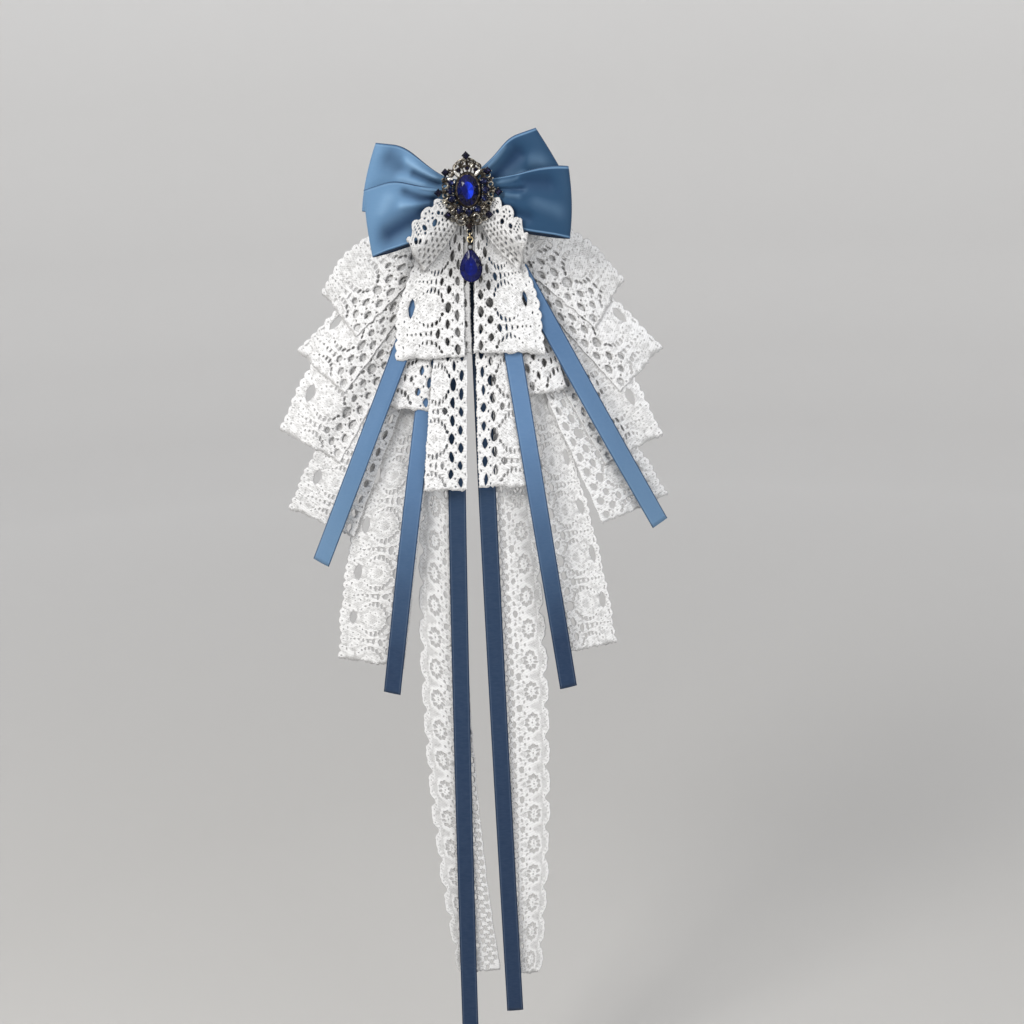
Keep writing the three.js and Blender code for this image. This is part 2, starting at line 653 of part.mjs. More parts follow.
function addPiece(name, geometry, look) {
  const piece = new THREE.Mesh(geometry, new THREE.MeshStandardMaterial(LOOKS[look]));
  piece.name = name;
  object.add(piece);
}

const bar = new THREE.BoxGeometry(PIN.length, PIN.depth, PIN.height);
bar.translate(0, -PIN.depth / 2, 0);
const post = new THREE.BoxGeometry(PIN.postWidth, -PIN.postFrontY - PIN.depth / 2, PIN.height);
post.translate(0, (PIN.postFrontY - PIN.depth / 2) / 2, 0);
addPiece('back_pin', geometryOf(joined([bar, post])), 'steel');

for (const row of LACES) addPiece(row.name, lace(row), row.kind === 'frill' ? 'frill' : 'lace');
for (const row of FRILLS) addPiece(row.name, lace(row, frillY), 'frill');
for (const row of RIBBONS) addPiece(row.name, ribbon(row), row.look);

addPiece('bow_back', bow('bow_back'), 'satin');
addPiece('bow_front', bow('bow_front'), 'satin');
addPiece('brooch_frame', broochFrame(), 'bronze');

const seatY = BROOCH.backY - SEAT_DEPTH;
const plateY = BROOCH.backY - BROOCH.plate;
const bezelY = BROOCH.backY - BEZEL.depth;
addStone('centre_stone', 'sapphire', CENTRE_CUT, { x: 0, z: 0, seatY: bezelY + CENTRE_CUT.sunk });
RING_ANGLES.forEach((degrees, i) => {
  const place = ellipse(RING_PATH.x, RING_PATH.z)(rad(degrees));
  const turn = Math.atan2(place.y, place.x) - Math.PI / 2;
  addStone(`ring_stone_${i + 1}`, 'sapphire', RING_CUT, { x: place.x, z: place.y, seatY: plateY, turn });
});
POINT_STONES.forEach((place, i) => addStone(`point_stone_${i + 1}`, 'dark', POINT_CUT, { ...place, seatY }));
CROWN_STONES.forEach((place, i) => addStone(`crown_stone_${i + 1}`, 'dark', CROWN_CUT, { ...place, seatY }));
addStone('bottom_stone', 'garnet', POINT_CUT, { ...BOTTOM_STONE, seatY });

const linkPitch = 2 * LINK.radius - 2 * LINK.wire - LINK.play;
const upperZ = LINK.eyeletZ - linkPitch;
const lowerZ = upperZ - linkPitch;
const bailZ = lowerZ - linkPitch;
const crystalZ = bailZ - CRYSTAL.below;
const pearZ = crystalZ - CRYSTAL.toPear - PEAR.height / 2;
addPiece('drop_link_upper', sideRing(upperZ, DROP_Y), 'gold');
addPiece('drop_link_lower', wireRing(0, lowerZ, LINK.radius, LINK.wire, DROP_Y), 'gold');
addPiece('drop_setting', dropSetting(bailZ, crystalZ, pearZ), 'bronze');
const crystalSeatY = settingBackY - CRYSTAL.seatDepth;
addStone('drop_crystal', 'crystal', CRYSTAL.cut, { x: 0, z: crystalZ, seatY: crystalSeatY });
const pear = stone(teardrop(PEAR.width, PEAR.height), PEAR.sides, PEAR.crown, PEAR.pavilion);
pear.translate(0, DROP_Y, pearZ);
addPiece('drop_stone', geometryOf(solid(pear)), 'sapphire');

export default object;
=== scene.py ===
import math
import random

import bmesh
import bpy
from mathutils import Matrix, Vector, bvhtree, geometry, noise


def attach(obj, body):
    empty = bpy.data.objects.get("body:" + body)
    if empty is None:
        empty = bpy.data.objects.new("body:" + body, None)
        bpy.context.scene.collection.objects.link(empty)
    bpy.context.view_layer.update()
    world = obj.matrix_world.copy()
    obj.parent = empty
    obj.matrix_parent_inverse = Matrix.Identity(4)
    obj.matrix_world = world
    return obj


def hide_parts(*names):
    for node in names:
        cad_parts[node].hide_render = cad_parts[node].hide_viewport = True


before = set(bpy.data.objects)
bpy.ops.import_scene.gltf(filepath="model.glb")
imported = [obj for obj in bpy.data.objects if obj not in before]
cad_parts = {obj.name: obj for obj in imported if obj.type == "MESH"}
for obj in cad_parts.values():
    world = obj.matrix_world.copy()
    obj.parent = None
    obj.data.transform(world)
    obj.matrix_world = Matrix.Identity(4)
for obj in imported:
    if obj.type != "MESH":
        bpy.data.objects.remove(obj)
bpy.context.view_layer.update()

MM = 0.001
TURN = 2 * math.pi
BODY = "jabot"

# Tail laces: two long lengths of narrow cotton lace at the very back, which hang to the bottom. Each is
# a flat strip with one straight and one scalloped edge, a net half and a row of flower eyelets, and it
# lies against the chest like every other strip of the jabot.
CHEST = {"slope": 28, "height": 230, "roundness": 500}
KNOT_Z = -8
PLEATS = {"depth": 2.1, "angle": 21, "start": 55, "full": 165, "flat_angle": 7, "full_angle": 26}
FOLDS = {"depth": 3.2, "angle": 4.6, "length": 120, "left_part": 9.0, "right_part": 4.0}
BACK_CLEARANCE = 3.4
LAYER_PITCH = 1.8
LACE_THICKNESS = 0.6


def table(columns, *rows):
    """Rows with named columns. The last column may be left out."""
    return [dict(zip(columns, row)) for row in rows]


def smooth(t):
    t = min(1.0, max(0.0, t))
    return t * t * (3 - 2 * t)


def lerp(a, b, t):
    return a + (b - a) * t


def cloth_y(x, z, level):
    """Where the back of a strip lies: the chest, its pleats from the knot, and its place in the stack."""
    chest = -CHEST["slope"] * smooth(-z / CHEST["height"]) + x * x / CHEST["roundness"]
    radius = math.hypot(x, z - KNOT_Z)
    angle = abs(math.degrees(math.atan2(x, KNOT_Z - z)))
    grown = smooth((radius - PLEATS["start"]) / (PLEATS["full"] - PLEATS["start"]))
    share = smooth((angle - PLEATS["flat_angle"]) / (PLEATS["full_angle"] - PLEATS["flat_angle"]))
    pleat = PLEATS["depth"] * grown * share * math.cos(TURN * angle / PLEATS["angle"])
    part = FOLDS["right_part"] if x > 0 else FOLDS["left_part"]
    fold = noise.noise(Vector((angle / FOLDS["angle"], radius / FOLDS["length"], part)))
    pleat += FOLDS["depth"] * grown * share * fold
    return chest - BACK_CLEARANCE - level * LAYER_PITCH - pleat


def bezier(a, b, c, t):
    return a.lerp(b, t).lerp(b.lerp(c, t), t)


def lace_place(row):
    """The row's strip as a function of the share across, from the straight edge, and along, from the root."""
    root, bend, tip, fold, inner = (Vector(row[k]) for k in ("root", "bend", "tip", "fold", "inner"))
    inner_bend = Vector(row["inner_bend"]) if "inner_bend" in row else (inner + fold) / 2

    def place(across, along):
        return bezier(inner, inner_bend, fold, along).lerp(bezier(root, bend, tip, along), across)

    return place


def placed(name, data):
    """An object of a mesh, lamp or camera, in the scene."""
    made = bpy.data.objects.new(name, data)
    bpy.context.scene.collection.objects.link(made)
    return made


def add_wall(sheet, thickness, back_material=0):
    """Thickens a single layer backwards. Its face keeps its material, and the rest may take the next one."""
    wall = sheet.modifiers.new("wall", "SOLIDIFY")
    wall.thickness = thickness * MM
    wall.offset = -1
    wall.material_offset = back_material


def strip_length(place, across=0.6, steps=60):
    points = [place(across, i / steps) for i in range(steps + 1)]
    return sum((b - a).length for a, b in zip(points, points[1:]))


def eyelet(s, v, half_s, half_v, turn=0.0, pointed=0.0, sides=8):
    """One hole of the lace, in millimetres across and along, with its ends drawn to a point."""
    ring = []
    for i in range(sides):
        angle = TURN * (i + 0.5 * (sides % 2)) / sides
        a = half_s * math.cos(angle) * (1 - pointed * math.sin(angle) ** 2)
        b = half_v * math.sin(angle)
        ring.append((
            s + a * math.cos(turn) - b * math.sin(turn),
            v + a * math.sin(turn) + b * math.cos(turn),
        ))
    return {"s": s, "v": v, "half": (half_s, half_v), "turn": turn, "ring": ring}


def tail_motif(width, pitch):
    """A net of pointed holes by the straight edge, and a flower of ten petals in the solid part."""
    third = pitch / 3
    for i in range(3):
        middle = (i + 0.5) * third
        yield eyelet(3.0, middle, 1.55, 3.0, 0.05, 0.4)
        yield eyelet(7.4, i * third, 1.5, 2.9, 0.05, 0.4)
        yield eyelet(11.9, middle, 1.45, 2.6, -0.2, 0.35)
        for side in (-1, 1):
            yield eyelet(5.2, i * third + side * 0.27 * third, 0.4, 0.7, sides=5)
            yield eyelet(9.7, (i + 0.5) * third + side * 0.3 * third, 0.38, 0.7, sides=5)
    for side in (-1, 1):
        yield eyelet(16.2, side * third, 0.85, 1.6, 0.3 * side, 0.3, 6)
        yield eyelet(20.4, side * 4.0, 0.75, 1.25, -0.4 * side, 0.3, 6)
    yield eyelet(16.9, 0, 1.8, 2.7, 0, 0.35)
    yield eyelet(23.0, 0, 0.7, 0.9, sides=5)
    for i in range(10):
        angle = TURN * (i + 0.5) / 10
        yield eyelet(26.4 + 4.1 * math.cos(angle), pitch / 2 + 5.9 * math.sin(angle), 1.75, 1.0, angle, 0, 6)
    yield eyelet(26.4, pitch / 2, 0.5, 0.7, sides=5)
    for i in range(5):
        v = (i + 0.5) * pitch / 5
        yield eyelet(width - 2.1 - tail_edge(v, pitch), v, 0.3, 0.45, sides=4)


def tail_edge(v, pitch):
    """How far the scalloped edge stands back from the full width: a bump of three lobes by each flower."""
    share = (v / pitch) % 1 - 0.5
    bump = smooth((0.5 - abs(share)) / 0.3)
    return 3.5 * (1 - bump) + 0.8 * (1 - abs(math.cos(3 * math.pi * share)) ** 0.8)


def in_hole(s, v, hole, margin, pitch):
    """Whether a place on the repeat lies in the hole or within the margin round it."""
    away = (v - hole["v"] + pitch / 2) % pitch - pitch / 2
    c, t = math.cos(hole["turn"]), math.sin(hole["turn"])
    a = (s - hole["s"]) * c + away * t
    b = away * c - (s - hole["s"]) * t
    return (a / (hole["half"][0] + margin)) ** 2 + (b / (hole["half"][1] + margin)) ** 2 < 1


# How far the cord round a hole stands off it, and how raised the cord and the field are
CORD_OFF = 0.45
CORD_RAISED = 1.0
FIELD_RAISED = 0.4
FIELD_OFF = 0.85


def repeat_points(holes, width, pitch, edge, steps):
    """Loose points of one repeat, (across, along, raised): a cord round each hole, and the field between."""
    loose = []
    for hole in holes:
        for s, v in hole["ring"]:
            out = Vector((s - hole["s"], v - hole["v"]))
            spot = Vector((s, v)) + out.normalized() * CORD_OFF
            others = any(h is not hole and in_hole(*spot, h, 0.12, pitch) for h in holes)
            if not others and 0.5 < spot.x < width - edge(spot.y, pitch) - 0.4:
                loose.append((spot.x, spot.y, CORD_RAISED))
    across_steps, along_steps = int(width / steps[0]), max(2, int(pitch / steps[1]))
    for i in range(1, across_steps):
        for j in range(along_steps):
            s, v = width * i / across_steps, pitch * (j + 0.5 * (i % 2)) / along_steps
            inside = 0.9 < s < width - edge(v, pitch) - 1.2
            if inside and not any(in_hole(s, v, h, FIELD_OFF, pitch) for h in holes):
                loose.append((s, v, FIELD_RAISED))
    return loose


# Plain quads of each strip, and the lace sheets themselves, for the shade in the stack at the end
COVERS = {}
LACES = []
COVER_COLUMNS, COVER_ROWS = 12, 40


def grid(columns, rows):
    """A grid's points, (across, along) from 0 to 1 and row by row, and its quads."""
    wide = columns + 1
    corners = [r * wide + c for r in range(rows) for c in range(columns)]
    points = [(c / columns, r / rows) for r in range(rows + 1) for c in range(wide)]
    return points, [(k, k + 1, k + 1 + wide, k + wide) for k in corners]


def note_cover(name, place, row, surface, size):
    """Keeps the strip as plain quads, so that the lace under it can be shaded."""
    points, quads = grid(COVER_COLUMNS, COVER_ROWS)
    spots = []
    for across, along in points:
        spot = place(across, along)
        y = surface(spot.x, spot.y, row, across, along, across * size[0], along * size[1])
        spots.append(Vector((spot.x, y, spot.y)) * MM)
    COVERS[name] = (spots, quads)


def strip_outline(width, length, pitch, edge, chance):
    """The flat strip's rim: its scallops, its cut end with loose threads, and its straight edge."""
    count = max(8, int(length / 1.2))
    teeth = max(6, int(width / 1.3))
    rim = [(width - edge(length * i / count, pitch), length * i / count) for i in range(count + 1)]
    rim += [(width * i / teeth, length - chance.uniform(0.0, 1.6)) for i in range(teeth - 1, 0, -1)]
    rim += [(chance.uniform(0.3, 0.7) * (i % 2), length * i / count) for i in range(count, -1, -1)]
    return [Vector(p) for p in rim], count


def worked_strip(width, length, pitch, motif, edge, steps, chance):
    """The flat strip as triangles: its points, how raised each is, and the faces left between the holes."""
    flat, count = strip_outline(width, length, pitch, edge, chance)
    raised = [0.0] * len(flat)
    faces = [list(range(len(flat)))]
    holes = [
        h for h in motif(width, pitch)
        if 0.9 < min(p[0] for p in h["ring"]) and all(s < width - edge(v, pitch) - 0.8 for s, v in h["ring"])
    ]
    repeats = range(round(length / pitch) + 1)
    for repeat in repeats:
        for hole in holes:
            wider, longer = chance.uniform(0.72, 1.12), chance.uniform(0.78, 1.08)
            ring = [
                Vector((lerp(hole["s"], s, wider), lerp(hole["v"], v, longer) + repeat * pitch))
                for s, v in hole["ring"]
            ]
            if min(p.y for p in ring) >= 0.6 and max(p.y for p in ring) <= length - 1.6:
                faces.append(list(range(len(flat), len(flat) + len(ring))))
                flat += ring
                raised += [0.0] * len(ring)
    loose = repeat_points(holes, width, pitch, edge, steps)
    for repeat in repeats:
        for s, v, height in loose:
            if 0.8 < v + repeat * pitch < length - 1.9:
                flat.append(Vector((s, v + repeat * pitch)))
                raised.append(height)
    for i in range(1, count):
        v = length * i / count
        if v < length - 2:
            flat += [Vector((width - edge(v, pitch) - 0.55, v)), Vector((0.75, v))]
            raised += [CORD_RAISED, CORD_RAISED]
    verts, _, cut_faces, origin, _, sources = geometry.delaunay_2d_cdt(flat, [], faces, 1, 1e-5)
    heights = [min([raised[i] for i in came_from] or [0.0]) for came_from in origin]
    return verts, heights, [f for f, source in zip(cut_faces, sources) if list(source) == [0]]


def drawn_out(p, level):
    """Where a point of the flat lace comes to lie, as worked thread is never quite regular."""
    return (
        p.x + 0.75 * noise.noise(Vector((p.x / 5, p.y / 5, 1.5 + level))),
        p.y + 1.0 * noise.noise(Vector((p.x / 5, p.y / 5, 9.5 + level))),
    )


def cloth_mesh(name, points, faces, flat):
    """A smooth single layer that keeps its places on the flat cloth."""
    mesh = bpy.data.meshes.new(name)
    mesh.from_pydata(points, [], faces)
    uv = mesh.uv_layers.new(name="cut")
    for loop in mesh.loops:
        uv.data[loop.index].uv = flat[loop.vertex_index]
    mesh.polygons.foreach_set("use_smooth", [True] * len(mesh.polygons))
    return mesh


def lace_sheet(name, row, pitch, motif, edge, surface, wall=LACE_THICKNESS, steps=(3.1, 3.3)):
    """A pierced strip: the motif's holes are cut from the flat strip, which is then laid on its surface."""
    width = row["width"]
    place = lace_place(row)
    length = strip_length(place)
    pitch = length / max(1, round(length / pitch))
    flat, heights, kept = worked_strip(width, length, pitch, motif, edge, steps, random.Random(name))
    points = []
    for p in flat:
        s, v = drawn_out(p, row["level"])
        across, along = s / width, min(1.0, max(0.0, v / length))
        spot = place(across, along)
        y = surface(spot.x, spot.y, row, across, along, s, v)
        points.append(Vector((spot.x, y, spot.y)) * MM)
    facing = sum((points[f[1]] - points[f[0]]).cross(points[f[2]] - points[f[0]]).y for f in kept[:200])
    if facing > 0:
        kept = [list(reversed(f)) for f in kept]
    used = sorted({i for f in kept for i in f})
    number = {old: new for new, old in enumerate(used)}
    faces = [[number[i] for i in f] for f in kept]
    mesh = cloth_mesh(name, [points[i] for i in used], faces, [flat[i] * MM for i in used])
    cord = mesh.attributes.new("cord", "FLOAT", "POINT")
    cord.data.foreach_set("value", [heights[i] for i in used])
    area = sum(abs((flat[f[1]] - flat[f[0]]).cross(flat[f[2]] - flat[f[0]])) / 2 for f in kept)
    sheet = placed(name, mesh)
    add_wall(sheet, wall, 1)
    note_cover(name, place, row, surface, (width, length))
    LACES.append(sheet)
    return sheet, (width * MM, length * MM), area * MM * MM


def hanging(x, z, row, across, along, s, v):
    """A strip's front at its level: a little wavy, its end and straight edge settled on what is behind."""
    level = row["level"]
    below_root = smooth(along * 3)
    wave = 0.28 * noise.noise(Vector((x / 23, z / 31, 3.7 * level)))
    wave += 0.22 * math.sin(v / 9.0 + level) * smooth((across - 0.5) / 0.5) * below_root
    settled = max(smooth((along - 0.86) / 0.14), smooth((0.16 - across) / 0.16) * below_root)
    return cloth_y(x, z, level) - LACE_THICKNESS - 0.2 - wave + settled


class Value:
    """A socket that takes part in sums, so that a pattern is written as an expression."""

    def __init__(self, tree, socket):
        self.tree = tree
        self.socket = socket

    def math(self, operation, *values):
        node = self.tree.nodes.new("ShaderNodeMath")
        node.operation = operation
        for place, value in zip(node.inputs, values):
            if isinstance(value, Value):
                self.tree.links.new(value.socket, place)
            else:
                place.default_value = value
        return Value(self.tree, node.outputs[0])

    def __add__(self, other):
        return self.math("ADD", self, other)

    def __radd__(self, other):
        return self.math("ADD", other, self)

    def __sub__(self, other):
        return self.math("SUBTRACT", self, other)

    def __rsub__(self, other):
        return self.math("SUBTRACT", other, self)

    def __mul__(self, other):
        return self.math("MULTIPLY", self, other)

    def __rmul__(self, other):
        return self.math("MULTIPLY", other, self)

    def sine(self):
        return self.math("SINE", self)

    def size(self):
        return self.math("ABSOLUTE", self)

    def step(self, low, high):
        """From 0 below low to 1 above high."""
        return self.math("MULTIPLY_ADD", self, 1 / (high - low), -low / (high - low)).clamped()

    def clamped(self):
        return self.math("MINIMUM", self.math("MAXIMUM", self, 0.0), 1.0)


class Finish:
    """A material with one Principled shader, whose sockets are fed by name."""

    def __init__(self, name, **plain):
        self.material = bpy.data.materials.new(name)
        self.material.use_nodes = True
        self.tree = self.material.node_tree
        self.shader = self.tree.nodes["Principled BSDF"]
        for socket, value in plain.items():
            self.shader.inputs[socket.replace("_", " ")].default_value = value

    def node(self, kind, settings=None, inputs=None, output=0):
        made = self.tree.nodes.new("ShaderNode" + kind)
        for key, value in (settings or {}).items():
            setattr(made, key, value)
        for key, value in (inputs or {}).items():
            if isinstance(value, Value):
                self.tree.links.new(value.socket, made.inputs[key])
            else:
                made.inputs[key].default_value = value
        return Value(self.tree, made.outputs[output])

    def cut(self, layer="cut"):
        """The place on the flat cloth, across and along, in metres."""
        vector = self.node("UVMap", {"uv_map": layer})
        return [self.node("SeparateXYZ", inputs={0: vector}, output=i) for i in (0, 1)]

    def place(self):
        return self.node("TexCoord", output=3)

    def stored(self, name):
        """What the mesh stores on its points or faces under the name."""
        return self.node("Attribute", {"attribute_name": name}, output=2)

    def noise(self, scale, detail=2.0, vector=None, stretch=None):
        vector = vector or self.place()
        if stretch:
            vector = self.node("Mapping", inputs={"Vector": vector, "Scale": stretch})
        return self.node("TexNoise", inputs={"Vector": vector, "Scale": scale, "Detail": detail})

    def mix(self, factor, first, second):
        """The first colour at factor 0 and the second at 1. A plain colour is three numbers."""
        colours = [value if isinstance(value, Value) else (*value, 1) for value in (first, second)]
        return self.node("Mix", {"data_type": "RGBA"}, dict(zip((0, 6, 7), (factor, *colours))), output=2)

    def feed(self, socket, value):
        self.tree.links.new(value.socket, self.shader.inputs[socket])

    def bump(self, height, strength, distance):
        self.feed("Normal", self.node("Bump", inputs={
            "Height": height, "Strength": strength, "Distance": distance,
        }))


# Painted shade: the dark of the small openings, pits and hole edges, where shade lies in the real lace
PAINTED_HOLE_SHADE = (0.22, 0.213, 0.205)
# Painted shade where other layers lie on the lace
PAINTED_STACK_SHADE = (0.11, 0.107, 0.105)


def lace_finish(name, white, shade, thread, rows, pitted=0.68, rim_shade=0.42, stack_shade=True):
    """Matt cotton: threads across and along, open rows in the solid parts, a raised cord round each hole,
    painted shade in the gaps, pits and hole edges, and painted shade under other layers.
    """
    finish = Finish(name, Roughness=0.95, Sheen_Weight=0.15, Sheen_Roughness=0.6, Specular_IOR_Level=0.12)
    s, v = finish.cut()
    raised = finish.stored("cord")
    uneven = finish.noise(420, 3)
    slant = v + 0.35 * s
    along = (slant * (TURN / thread) + 2.6 * uneven).sine()
    across = (s * (TURN / (thread * 1.15)) + 2.4 * uneven).sine()
    twist = ((s + v) * (TURN / (thread * 0.6))).sine()
    row = (slant * (TURN / rows) + 1.5 * uneven).sine()
    gap = (row * (s * (TURN / (rows * 0.72)) + 2 * uneven).sine()).step(0.42, 0.8)
    cord = raised.step(0.45, 0.9)
    painted_rim_shade = 1 - raised.step(0.1, 0.3 + rim_shade)
    field = (1 - cord) * (1 - painted_rim_shade)
    speck = finish.noise(1500, 2)
    coarse, fine = finish.noise(560, 3), finish.noise(950, 2)
    pits = (coarse.step(0.62 - 0.1 * pitted, 0.63) + 0.7 * fine.step(0.56, 0.66)).clamped() * field
    body = 0.3 * along + 0.2 * across + 0.35 * row * field + 1.3 * raised + 0.2 * twist * cord
    body = body + 0.9 * speck - 1.1 * gap * field - 0.9 * pits
    tone = 0.36 + 0.4 * finish.noise(55, 4) + 0.16 * along + 0.14 * row + 0.5 * (speck - 0.4)
    colour = finish.mix(tone.clamped(), shade, white)
    # Painted shade in the open rows' gaps, in the pits and round each hole's edge
    dark = 0.6 * gap * field + pitted * pits + rim_shade * painted_rim_shade
    colour = finish.mix(dark.clamped(), colour, PAINTED_HOLE_SHADE)
    # Painted shade on the face, by how covered it is
    if stack_shade:
        covered = finish.stored("covered")
        colour = finish.mix(0.68 * covered, colour, PAINTED_STACK_SHADE)
    finish.feed("Base Color", colour)
    finish.bump(body, 0.7, 0.00045)
    return finish.material


def lace_finishes(name, *look):
    """The face, with painted shade where other layers lie close in front of it, and the back without it."""
    return [lace_finish(name, *look), lace_finish(name + "_back", *look, stack_shade=False)]


THREAD, THREAD_ROWS = 0.00095, 0.0019
COTTON = lace_finishes("cotton_lace", (0.95, 0.948, 0.945), (0.64, 0.635, 0.63), THREAD, THREAD_ROWS)
# The open lace has fewer pits and more painted shade round its holes
OPEN_COTTON = lace_finishes(
    "open_cotton_lace", (0.96, 0.957, 0.952), (0.68, 0.673, 0.665), THREAD, THREAD_ROWS, 0.46, 0.5,
)

# Each strip's scalloped edge runs from its root by its bend to its tip, and its straight edge from inner
# to fold, by inner_bend where one is given. Places are (x, z) in millimetres.
STRIP = ("name", "level", "width", "root", "bend", "tip", "fold", "inner", "inner_bend")
TAIL_PITCH = 23.5
TAILS = table(
    STRIP,
    ("tail_left", 0, 40, (-14, -30), (-71, -299), (-31, -571), (1, -567), (-3, -34), (-26, -330)),
    ("tail_right", 0, 40, (12, -30), (62, -299), (31, -572), (5, -573), (3, -34), (8, -300)),
)


def dress(piece, body, nodes, materials):
    """Puts a piece on its body in place of its solids, and gives it its materials."""
    for material in materials:
        piece.data.materials.append(material)
    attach(piece, body)
    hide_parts(*nodes)


def fit_lace(made, node, materials):
    sheet, size, area = made
    dress(sheet, BODY, [node], materials)
    min(area, size[0] * size[1])


for row in TAILS:
    lace = lace_sheet(row["name"] + "_lace", row, TAIL_PITCH, tail_motif, tail_edge, hanging)
    fit_lace(lace, row["name"], OPEN_COTTON)

# Wide laces: lengths of 48 mm cotton lace that fan out from the knot, in four tiers a side over one lower
# length, then short ends, middle panels and top panels beside the centre. The lace has columns of pointed
# eyelets by its straight edge, then solid fans inside rings of slim holes, and a slot by each fan.
WIDE_PITCH = 36
LOBES = 5
SCALLOPED_FROM = 40
FAN = {"across": 24.3, "reach_across": 9.9, "reach_along": 12.2, "start": 25, "step": 17}
# Slim holes round a fan, from the straight edge outwards: half width and half length
FAN_HOLES = [
    (1.15, 1.6), (0.85, 2.1), (0.85, 2.35), (0.8, 2.3), (0.7, 1.9), (0.55, 1.3), (0.42, 0.8), (0.36, 0.5),
]
# Holes of one repeat outside the fan's ring: across, half width, half length, how pointed, and at which
# thirds of the repeat
WIDE_HOLES = [
    (5.0, 1.95, 3.9, 0.45, 0.5, 1.5, 2.5), (11.6, 2.8, 4.5, 0.15, 0.0), (11.6, 1.85, 3.7, 0.45, 1.0, 2.0),
    (17.6, 1.75, 3.0, 0.35, 1.5), (22.2, 0.75, 2.5, 0.3, 1.5), (26.0, 0.7, 1.9, 0.3, 1.5),
    (29.4, 0.6, 1.3, 0.2, 1.5), (32.4, 0.5, 0.9, 0.0, 1.5), (35.2, 0.5, 0.85, 0.0, 1.5),
    (38.0, 0.45, 0.75, 0.0, 1.5), (37.2, 2.5, 7.0, 0.3, 0.0), (14.8, 0.45, 0.8, 0.0, 1.28, 1.72),
    (37.0, 0.35, 0.5, 0.0, 1.1, 1.9), (40.6, 0.45, 1.1, 0.0, 0.75, 2.25), (33.4, 0.3, 0.4, 0.0, 1.17, 1.83),
]


def wide_motif(width, pitch):
    """The table's holes, pinholes in the net, the fan's ring, the fan's own pinholes and one in each lobe."""
    third = pitch / 3
    for across, half_s, half_v, pointed, *places in WIDE_HOLES:
        sides = 8 if half_v > 2 else 6 if half_v > 1 else 5
        for along in places:
            yield eyelet(across, along * third, half_s, half_v, 0.05, pointed, sides)
    for i in range(3):
        yield eyelet(1.9, i * third, 0.4, 0.9, sides=5)
        for side in (-1, 1):
            yield eyelet(8.3, (i + side * 0.27) * third, 0.48, 0.9, sides=5)
    for side in (-1, 1):
        for i, (half_s, half_v) in enumerate(FAN_HOLES):
            angle = math.radians(FAN["start"] + FAN["step"] * i)
            yield eyelet(
                FAN["across"] - FAN["reach_across"] * math.cos(angle),
                side * FAN["reach_along"] * math.sin(angle),
                half_s, half_v, -0.4 * side * math.cos(angle), 0.3, 6,
            )
    for i in range(8):
        angle = TURN * (i + 0.5) / 8
        yield eyelet(24.5 + 4.6 * math.cos(angle), 5.4 * math.sin(angle), 0.26, 0.3, sides=4)
    for i in range(LOBES):
        v = (i + 0.5) * pitch / LOBES
        yield eyelet(width - 2.6 - wide_edge(v, pitch), v, 0.42, 0.5, sides=5)


def wide_edge(v, pitch):
    """Rounded lobes on a long low wave."""
    lobe = abs(math.sin(LOBES * math.pi * v / pitch)) ** 0.7
    return 1.8 * (1 - lobe) + 0.45 * (1 - math.cos(TURN * v / pitch))


def cut_edge(v, pitch):
    """A plain cut edge, slightly uneven."""
    return 0.25 + 0.25 * math.sin(24 * math.pi * v / pitch)


WIDE = table(
    STRIP,
    ("lower_lace_left", 1, 47, (-14, -40), (-98, -195), (-107, -325), (-59, -329), (-12, -50)),
    ("lower_lace_right", 1, 44, (12, -40), (76, -180), (93, -319), (55, -322), (8, -50)),
    ("tier_4_left", 3, 48, (-10, -26), (-102, -140), (-137, -217), (-89, -233), (-5, -36)),
    ("tier_4_right", 3, 48, (10, -26), (96, -146), (132, -216), (83, -229), (5, -36)),
    ("tier_3_left", 4, 47, (-10, -18), (-107, -79), (-139, -161), (-96, -182), (-5, -34)),
    ("tier_3_right", 4, 47, (10, -18), (97, -86), (128, -173), (86, -188), (5, -34)),
    ("tier_2_left", 5, 44, (-10, -10), (-74, -58), (-124, -106), (-90, -134), (-5, -30)),
    ("tier_2_right", 5, 44, (10, -10), (78, -52), (130, -113), (98, -140), (5, -30)),
    ("tier_1_left", 6, 42, (-10, -3), (-90, -26), (-103, -67), (-80, -96), (-5, -28)),
    ("tier_1_right", 6, 42, (10, -3), (78, -22), (103, -65), (82, -96), (5, -28)),
    ("short_lace_left", 8, 31, (-12, -24), (-44, -76), (-62, -141), (-30, -145), (-8, -30)),
    ("short_lace_right", 7, 28, (12, -24), (46, -70), (61, -133), (34, -137), (8, -30)),
    ("middle_panel_left", 9, 30, (-12, -16), (-30, -108), (-38, -197), (-8, -197), (-1.5, -20)),
    ("middle_panel_right", 8, 36, (12, -16), (38, -100), (36, -197), (-1, -195), (1.5, -20)),
    ("top_panel_left", 11, 47, (-7, -6), (-58, -59), (-53, -110), (-6, -108), (-4, -10)),
    ("top_panel_right", 11, 47, (7, -6), (49, -50), (47, -109), (-1, -106), (4, -10)),
)
for row in WIDE:
    edge = wide_edge if row["width"] > SCALLOPED_FROM else cut_edge
    lace = lace_sheet(row["name"] + "_cloth", row, WIDE_PITCH, wide_motif, edge, hanging)
    fit_lace(lace, row["name"], OPEN_COTTON if row["level"] < 2 else COTTON)

# The left top panel's straight edge is turned back, and lies in shade between the two panels
TURNED, = table(
    STRIP,
    ("top_panel_left", 9.9, 10.8, (-12.2, -26), (-12.2, -67), (-12.2, -107), (-1.2, -107), (-1.4, -26)),
)


def turned_motif(width, pitch):
    """One column of eyelets, the panel's first."""
    return [eyelet(3.6, (i + 0.5) * pitch / 3, 1.4, 2.9, 0.05, 0.4) for i in range(3)]


lace = lace_sheet("top_panel_left_turned_edge", TURNED, WIDE_PITCH, turned_motif, cut_edge, hanging)
fit_lace(lace, TURNED["name"], COTTON)

